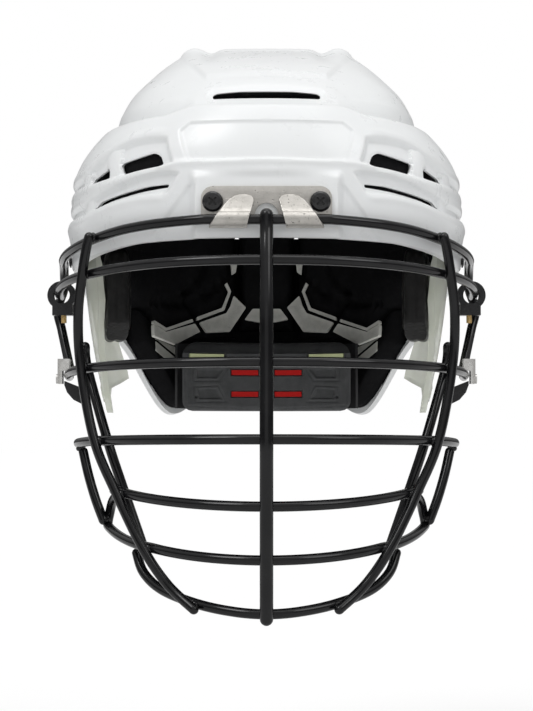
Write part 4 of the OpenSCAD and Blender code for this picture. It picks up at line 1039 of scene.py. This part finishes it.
def plate(name, outlines, tree, lift=0.6, round_r=1.2, nodes=()):
    """Thin grey plates on a lining's surface, on both sides, from outlines as the front camera sees them."""
    sink, longest, half_frame = 1.6, 5, 262
    eye = Vector((0, camera_y, camera_z))
    bm = bmesh.new()
    for outline in outlines:
        part = bmesh.new()
        part.faces.new([part.verts.new((a, b, 0)) for a, b in round_outline(outline, round_r, 3)])
        bmesh.ops.triangulate(part, faces=part.faces)
        for _ in range(5):
            long = [e for e in part.edges if e.calc_length() > longest]
            if long:
                bmesh.ops.subdivide_edges(part, edges=long, cuts=1, use_grid_fill=False)
                bmesh.ops.triangulate(part, faces=part.faces)
        top, low = {}, {}
        for v in part.verts:
            hit, normal, _, _ = tree.ray_cast(eye, Vector(camera_ray(v.co.x, v.co.y)))
            if normal.y > 0:
                normal = -normal
            top[v], low[v] = hit + normal * lift, hit - normal * sink
        for m in (1, -1) if max(a for a, _ in outline) < half_frame else (1,):
            a, b = ({v: bm.verts.new((p.x * m * MM, p.y * MM, p.z * MM)) for v, p in face.items()}
                    for face in (top, low))
            for f in part.faces:
                vs = [loop.vert for loop in f.loops]
                bm.faces.new([a[v] for v in vs])
                bm.faces.new([b[v] for v in reversed(vs)])
            for e in part.edges:
                if len(e.link_faces) == 1:
                    v, w = e.verts
                    bm.faces.new([a[v], a[w], b[w], b[v]])
        part.free()
    bmesh.ops.recalc_face_normals(bm, faces=bm.faces)
    o = new_object(name, mesh_of(bm, name))
    o.data.materials.append(MAT["panel"])
    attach(o, "rear")
    if nodes:
        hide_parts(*nodes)


# As the front camera sees them: channels between the rear pads (line, width, depth), grey panels and stripes
channels = [
    ([(252.5, 299), (246, 309), (231, 333)], 2.2, 5),
    ([(170, 303), (188.5, 303.5), (207, 334)], 2.4, 5),
    ([(187, 291), (199, 280), (206, 264)], 2.2, 4),
    ([(188.5, 303), (212, 291), (229, 279), (233, 262)], 2.2, 4),
    ([(152, 303), (170, 303), (188, 291)], 2.2, 4),
]
grey_panels = [
    [(233.7, 295.8), (246.0, 307.7), (230.0, 331.6), (206.3, 332.6), (199.5, 322.6), (226.3, 313.2), (230.5, 305.8)],
    [(153.2, 324.2), (165.3, 332.1), (194.7, 323.7), (200.0, 332.1), (175.8, 338.9), (175.8, 345.0), (153.8, 336.0)],
    [(230.5, 262.0), (237.4, 262.0), (235.8, 272.6), (231.6, 275.3)],
    [(252.6, 309.0), (280.4, 309.0), (288.3, 319.5), (266.5, 323.9), (244.7, 319.5)],
]
low_panels = [
    [(154.4, 339.5), (175.0, 347.5), (175.6, 355.5), (154.7, 338.6)],
    [(154.8, 341.3), (174.8, 358.0), (175.6, 368.5), (157.0, 352.5), (155.3, 350.5)],
]
stripes = [
    [(196.8, 317.2), (222.0, 308.0), (228.2, 292.0), (224.6, 284.6), (227.0, 282.6), (231.2, 291.6),
     (224.4, 310.2), (196.8, 320.6)],
    [(153.7, 320.4), (165.8, 328.0), (192.0, 319.2), (193.2, 321.8), (165.6, 331.0), (153.2, 323.2)],
]


NAPE_Y, NAPE_R, NAPE_T, NAPE_TOP, NAPE_H = 24.0, 80.0, 13.0, -9.0, 43.0
nape_recess = [
    [(198, 369), (224, 369), (217, 378), (198, 378)],
    [(199, 389), (217, 388), (222.6, 399), (200, 399)],
]
nape_lines = [
    [(194.5, 366.2), (228.3, 366.2), (219.5, 380.6), (194.5, 380.6), (194.5, 366.2)],
    [(195.4, 386.4), (218.4, 385.4), (226.6, 401.6), (196.4, 401.6), (195.4, 386.4)],
    [(186, 360), (187.5, 406), (266.5, 409.5)],
]
nape_hole, insert_z, strip_turn, strip_slot_z = (197.4, 396.8), (-30.0, -43.0), math.radians(26.3), -18.6


def nape_pad():
    """The occipital pad: a sloped top, recessed fields, fine lines and slots for the inserts."""
    half, top, low = 50.0, NAPE_TOP - 1.2, NAPE_TOP - NAPE_H + 0.3
    mid, tall = (top + low) / 2, (top - low) / 2
    v, u = np.linspace(1, -1, 84), np.linspace(-1, 1, 170)
    z = mid + tall * v[:, None] * np.ones(len(u))
    r = np.where(v > 0, 9.0, 6.0)
    t = np.maximum(np.abs(v) * tall - (tall - r), 0)
    wide = (half - r + np.sqrt(np.maximum(r * r - t * t, 0)))[:, None]
    x = wide * u[None, :]
    edge = np.minimum(wide - np.abs(x), np.minimum(top - z, (z - low)))
    sink = 2.6 * (1 - np.sqrt(1 - np.clip(1 - edge / 3.4, 0, 1) ** 2)) + 1.2 * (np.abs(x) / half) ** 4
    sink = sink + 6.0 * np.clip((z - (NAPE_TOP - 8.2)) / 8.0, 0, 1) ** 0.8
    y = NAPE_Y + np.sqrt(NAPE_R ** 2 - x ** 2)
    px, py = seen(np.stack([x, y, z], -1))
    for outline in nape_recess:
        sink = sink + 0.8 * smooth(-0.4, 0.9, inside(px, py, outline))
    for line in nape_lines:
        sink = sink + 0.35 * bell(to_line(px, py, line), 0.75)
    hole = (px - nape_hole[0]) ** 2 + (py - nape_hole[1]) ** 2
    sink = sink + 1.6 * bell(hole, 1.4)
    for zc in insert_z:
        slot = (np.abs(np.abs(x) - 13) < 8.5) & (np.abs(z - zc - 1.5) < 2.0)
        sink = np.where(slot, 1.6, sink)
    c, s = math.cos(strip_turn), math.sin(strip_turn)
    along = (np.abs(x) - NAPE_R * s) * c - (y - NAPE_Y - NAPE_R * c) * s
    slot = (np.abs(along) < 11.8) & (np.abs(z - strip_slot_z) < 1.5)
    sink = np.where(slot, 2.6, sink)
    angle = np.arcsin(x / NAPE_R)
    face = np.stack([(NAPE_R + sink) * np.sin(angle), NAPE_Y + (NAPE_R + sink) * np.cos(angle), z], -1)
    face[..., 0] = np.clip(face[..., 0], -wide, wide)
    # the back is a little smaller all round
    x = 0.97 * x
    back_y = NAPE_Y + np.sqrt((NAPE_R + NAPE_T - 0.3) ** 2 - x ** 2)
    verts, faces = skin(np.stack([x, back_y, mid + (z - mid) * 0.97], -1), face)
    o = add_mesh("nape_pad_form", verts, faces, "nape", "nape", ("nape_pad",), 40)


def temple_pads():
    """Leather pads: a stuffed block with piped seams, soft creases and a cut-off lower front corner."""
    length, tall, thick = 19.8, 24.8, 7.3
    centre, turn = (82, -12, 9.5), math.radians(82)
    bm = bmesh.new()
    bmesh.ops.create_cube(bm, size=2)
    bmesh.ops.subdivide_edges(bm, edges=bm.edges, cuts=31, use_grid_fill=True)
    bm.verts.index_update()
    p = np.array([v.co for v in bm.verts])
    faces = [[v.index for v in f.verts] for f in bm.faces]
    bm.free()
    p = p / (np.abs(p) ** 7).sum(axis=1, keepdims=True) ** (1 / 7)
    q = p * [length, thick, tall]
    a, b = np.abs(q[:, 0]) / length, np.abs(q[:, 2]) / tall
    crown = (1 - a ** 4) * (1 - b ** 4)
    q[:, 1] *= 0.80 + 0.20 * crown
    ring = np.maximum(a, b)
    q[:, 1] *= 1 - 0.10 * bell(ring - 0.80, 0.035)
    side = bell(q[:, 1], 1.3) * (ring > 0.93)
    q[:, [0, 2]] *= 1 - 0.022 * side[:, None]
    wave = 0.35 * np.sin(q[:, 0] * 0.55 + 0.8 * np.sin(q[:, 2] * 0.21)) * np.sin(q[:, 2] * 0.34 + 1.1) * crown
    q[:, 1] += wave * np.sign(q[:, 1]) * (np.abs(p[:, 1]) > 0.6)
    # the lower front corner is cut off at an angle
    corner = np.array([0.55, 0.83])
    q[:, [0, 2]] += np.maximum(-(q[:, [0, 2]] @ corner) - 23.5, 0)[:, None] * corner
    c, d = math.cos(turn), math.sin(turn)
    w = np.stack([q[:, 0] * c - q[:, 1] * d, q[:, 0] * d + q[:, 1] * c, q[:, 2]], -1) + centre
    for side, m in SIDES:
        turned = faces if m > 0 else [f[::-1] for f in faces]
        node = "temple_pad_" + side
        o = add_mesh(node + "_form", w * [m, 1, 1], turned, "leather", "helmet", (node,))


def pads():
    nape_pad()
    temple_pads()
    crown = (0, crown_count - 3)
    pad_piece("forehead_pad", False, (-8, 8), (crown_count, 18), forehead_near, pad_near + 13, (34, 90))
    pad_piece("crown_pad_front", False, (-13, 13), crown, pad_near, pad_near + 11, (40, 90), fold=True)
    pad_piece("crown_pad_rear", True, (-8, 8), crown, rear_near, rear_near + 11, (40, 70), fold=True)
    pad_piece("rear_pad_centre", True, (-0.66, 0.66), (crown_count, row_count - 1.4), rear_near, rear_near + 20,
              (60, 20))
    for side, m in SIDES:
        pad_piece("side_pad_" + side, False, (9, 14), (crown_count, 17.4), pad_near, pad_near + 17,
                  (30, 40), m=m)
        pad_piece("rear_pad_" + side, True, (-7.5, -0.8), (crown_count, row_count - 1.25), rear_near,
                  rear_near + 20, (84, 84), channels, m=m)
        pad_piece("nape_pad_" + side, True, (-5.4, -3), (row_count - 1.15, row_count - 0.1), rear_near,
                  rear_near + 14, (34, 30), m=m)
    upper = lining_tree((crown_count, row_count, 60), (-8, 8, 80), rear_near + 19.4)
    lower = lining_tree((rim_row, row_count, 30), (-8, 8, 80), rear_near + 13.6)
    plate("grey_panels", grey_panels, upper, nodes=("rear_pad_panels",))
    plate("low_grey_panels", low_panels, lower, round_r=0.5)
    plate("grey_stripes", stripes, upper, lift=0.5, round_r=0.5)


pads()

def hinge_clip():
    """A plate with two hooks bent over the top wire."""
    w, z0, z1, r = 64.5 / 2, hinge_z + 1.8, hinge_z + 16.8, 6.0
    notch, notch_rise, back_y = bar_r + 2.6, 0.8, boss_y - 0.02
    ring = [(-w, z0)]
    ring += [(-w + r - r * math.cos(a), z1 - r + r * math.sin(a)) for a in np.linspace(0, math.pi / 2, 14)]
    ring += [(-p, q) for p, q in ring[:0:-1]] + [(w, z0)]
    ring += [(notch * math.cos(a), z0 + (notch + notch_rise) * math.sin(a)) for a in np.linspace(0, math.pi, 25)]
    o = prism("hinge_clip_form", [(x, back_y, z) for x, z in ring], np.zeros(3), np.array([0, -clip_t, 0]))
    way, hole = np.array([0, 6, 0]), round_ring(0, 0, 0, 2.3)[:, [1, 0, 2]]
    cut(o, [prism("cutter", hole + [x, boss_y, 48], way, -way) for x in (-26.5, 26.5)])
    # hooks: a strip that leaves the plate, goes round the wire and turns up behind it
    mid = wire_r + 0.3 + clip_t / 2
    lead = [np.array([clip_front_y - clip_t * 0.42, 51.2]), np.array([clip_front_y - clip_t * 0.5 - 0.6, 49.2])]
    arc = [np.array([hinge_y + mid * math.cos(a), hinge_z + mid * math.sin(a)])
           for a in np.radians(np.linspace(112, 314, 56))]
    path = np.array([spline(lead + arc[::11], t) for t in np.linspace(0, 2, 26)[:-1]] + arc)
    path = path[np.concatenate([[True], np.linalg.norm(np.diff(path, axis=0), axis=1) > 0.01])]
    step = np.gradient(path, axis=0)
    side = np.stack([-step[:, 1], step[:, 0]], -1)
    side /= np.linalg.norm(side, axis=1, keepdims=True)
    run = np.concatenate([[0], np.cumsum(np.linalg.norm(np.diff(path, axis=0), axis=1))])
    # the strip's edges: wider towards its end, with rounded corners at the start and a trimmed end
    t = np.clip((51 - path[:, 1]) / 17.5, 0, 1.02)
    round_in = 4.2 * (1 - np.sqrt(1 - np.clip(1 - run / 4.2, 0, 1) ** 2))
    trim = np.clip(run - run[-1] + 2.0, 0, 2)
    x_in = lerp(5.4, 10.3, t) + round_in + trim * 0.5
    x_out = lerp(17.0, 29.5, t) - round_in * 0.9 - trim * 0.8
    x = lerp(x_in[:, None], x_out[:, None], np.linspace(0, 1, 30)[None, :])
    bm = bmesh.new()
    bm.from_mesh(o.data)
    for m in (1, -1):
        faces_of = [path + sign * side * clip_t / 2 for sign in (1, -1)]
        grids = [np.stack([m * x, p[:, :1] + 0 * x, p[:, 1:] + 0 * x], -1) for p in faces_of]
        verts, faces = skin(*grids)
        vs = [bm.verts.new(tuple(v * MM)) for v in verts]
        for f in faces:
            bm.faces.new([vs[i] for i in f])
    bmesh.ops.recalc_face_normals(bm, faces=bm.faces)
    for f in bm.faces:
        f.smooth = True
    bm.to_mesh(o.data)
    bm.free()
    o.data.materials.append(MAT["steel"])
    bevel(o, 0.22, 2, 50)
    edge_split(o, 40)
    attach(o, "helmet")
    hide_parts("hinge_clip")


hinge_clip()


# Ear guards
def guard_x(y, z):
    """The guards' outer face: it hangs inward and bends in at the front and the back."""
    down, rear, front = guard_top - z, np.maximum(y - 10, 0), np.maximum(2 - y, 0)
    low = np.clip((20 - z) / 50, 0, 1)
    x = half_w - wall - contact - 0.4 - 0.05 * down - 0.0012 * down ** 2
    return x - 0.008 * rear ** 2 * (1 + 1.4 * low) - 0.009 * front ** 2


def ear_guards():
    """Clear plates with a thick rim, a rib, a boss and a window."""
    n = 96
    u, v = np.linspace(0, 8, n + 1), np.linspace(0, 1, n + 1)[:, None]
    lower = [np.array(p, float) for p in zip(range(-30, 35, 8), (6, -14, -36, -50, -54, -47, -40, -38, -34))]
    edge = np.array([spline(lower, min(t, 7.9999)) for t in u])
    y, low_z = edge[:, 0][None, :] * np.ones_like(v), edge[:, 1][None, :]
    z = lerp(np.interp(y, [10, 18], [guard_top, side_z - 2]), low_z, v)
    x = guard_x(y, z)
    rim = np.minimum(np.minimum(z - low_z, (y + 30) * 0.9 + 0.3), 34 - y)
    thick = 0.9 * bell(rim, 1.5) * smooth(0.15, 0.3, v)
    window = np.maximum(np.abs(y - 10) - 8, np.abs(v - 0.4375) * 60 - 11.2)
    thick = thick + 0.8 * bell(window - 1.2, 1.1)
    rib = bell(y + 9 + 0.12 * (z + 10), 1.3) * smooth(-38, -30, z) * (1 - smooth(6, 12, z))
    boss = (y - 1) ** 2 + (z + 44) ** 2 < 4.5 ** 2
    inner = x - guard_t - np.where(boss, 0.7, 0.8 * thick + 0.7 * rib)
    outer = x + np.where(boss, 0.7, 0.2 * thick)
    keep = ~((y[:-1, :-1] >= 1.99) & (y[:-1, 1:] <= 18.01) & (v[:-1] >= 0.2499) & (v[1:] <= 0.6251))
    for side, m in SIDES:
        node, faces_at = "ear_guard_" + side, (np.stack([g, y, z], -1) * [m, 1, 1] for g in (outer, inner))
        o = add_mesh(node + "_form", *skin(*faces_at, keep), "guard", "helmet", (node,), 40)
        weld_mesh(o)
        cut(o, [drill(m, 96, 1, -44, 2, 14)] + [drill(m, 100, hole_y, 28, 2.0, 12) for hole_y in (-14, 7)])


ear_guards()


# CAD nodes that stay get a material and a bevel of some width and segments
kept = (
    ("clip_screws guard_screws_left guard_screws_right size_screws_left size_screws_right", "screw", 0.12, 2),
    ("clip_nuts size_nuts guard_nuts snap_stud_left snap_stud_right", "zinc", 0.12, 2),
    ("loop_screw_left loop_screw_right", "brass", 0.1, 2),
    ("side_clip_left side_clip_right", "nickel", 0.6, 3),
    ("strap_loop_left strap_loop_right", "rubber", 0.7, 3),
    ("clip_bumper_left clip_bumper_right", "rubber", 0.8, 3),
    ("nape_bracket nape_carrier", "plastic", 0.5, 2),
    ("nape_inserts", "red", 0.2, 2),
    ("nape_strips", "lime", 0.3, 2),
    ("temple_mounts", "grey", 0.5, 2),
)
for names, mat, width, segments in kept:
    for name in names.split():
        for slot in frame["nodes"][name].material_slots:
            slot.material = MAT[mat]
        bevel(frame["nodes"][name], width, segments, 38)


# Floor, light and camera
def blank_nodes(block):
    """The emptied node tree of a material or a world."""
    block.use_nodes = True
    block.node_tree.nodes.clear()
    return Nodes(block.node_tree)


def joined(n, kind, *inputs):
    """A node with its inputs set by their order."""
    node = n.new(kind)
    for socket, v in zip(node.inputs, inputs):
        n.put(socket, v)
    return node.outputs[0] if node.outputs else None


def seen_ray(n):
    """1 for rays that show a surface to the camera, straight or through a clear piece."""
    path = n.new("LightPath")
    return n.math("MAXIMUM", path.outputs["Is Camera Ray"], path.outputs["Is Transmission Ray"])


world_light = 0.46
# each lamp's direction, strength and angle
sun_light = ((-0.62, -0.76, 1.20, 0.88, 24), (0.80, -0.66, 0.85, 0.56, 30), (0.05, -0.15, 1.0, 0.68, 44),
             (0.0, -1.0, -0.1, 0.20, 60))
floor_z, floor_shade, floor_half = -0.26, 0.35, 30


def floor():
    """A pale floor that looks white and takes the object's shadow."""
    bm = bmesh.new()
    bmesh.ops.create_grid(bm, x_segments=1, y_segments=1, size=floor_half)
    o = new_object("floor", mesh_of(bm, "floor"))
    o.location = (0, 0, floor_z)
    m = bpy.data.materials.new("floor")
    n = blank_nodes(m)
    light = world_light + sum(k * z / math.hypot(x, y, z) for x, y, z, k, _ in sun_light) / math.pi
    bounce, shade = (n.new("BsdfDiffuse", Color=(c, c, c)).outputs[0] for c in (0.8, floor_shade))
    glow = n.new("Emission", Strength=1.0 - floor_shade * light).outputs[0]
    look = joined(n, "MixShader", seen_ray(n), bounce, joined(n, "AddShader", shade, glow))
    joined(n, "OutputMaterial", look)
    o.data.materials.append(m)


def world():
    """White to the camera, light and dark zones to glossy surfaces, and an even light to the rest."""
    bpy.context.scene.world = bpy.data.worlds.new("world")
    n = blank_nodes(bpy.context.scene.world)
    across = n.new("SeparateXYZ", Vector=n.new("TexCoord").outputs["Generated"])
    height = n.math("MULTIPLY", n.math("ADD", across.outputs[2], 1.0), 0.5)
    above = n.ramp(height, (0.0, 0.05), (0.45, 0.07), (0.55, 0.12), (0.80, 0.75), (1.0, 0.9))
    ahead = n.ramp(n.math("MULTIPLY", across.outputs[1], -1.0), (0.72, 0.0), (0.98, 0.16))
    white = n.new("Background", Color=(1, 1, 1)).outputs[0]
    light = n.new("Background", Color=(1, 1, 1), Strength=world_light).outputs[0]
    studio = n.new("Background", Color=n.mix(1.0, above, ahead, "ADD")).outputs[0]
    shine = joined(n, "MixShader", n.new("LightPath").outputs["Is Glossy Ray"], light, studio)
    joined(n, "OutputWorld", joined(n, "MixShader", seen_ray(n), shine, white))


floor()
world()
for k, (x, y, z, strength, angle) in enumerate(sun_light):
    lamp = bpy.data.lights.new("sun_%d" % k, "SUN")
    lamp.energy, lamp.angle = strength, math.radians(angle)
    new_object("sun_%d" % k, lamp).rotation_euler = Vector((-x, -y, -z)).to_track_quat("-Z", "Y").to_euler()

cam_data = bpy.data.cameras.new("camera")
cam = new_object("camera", cam_data)
cam_data.sensor_width = 36
cam_data.lens = focal * cam_data.sensor_width / (2 * photo_y)
cam_data.clip_start = 0.01
cam.location = (0, camera_y * MM, camera_z * MM)
cam.rotation_euler = (math.pi / 2 + tilt, 0, 0)
bpy.context.scene.camera = cam
bpy.context.scene.view_settings.view_transform = "Standard"
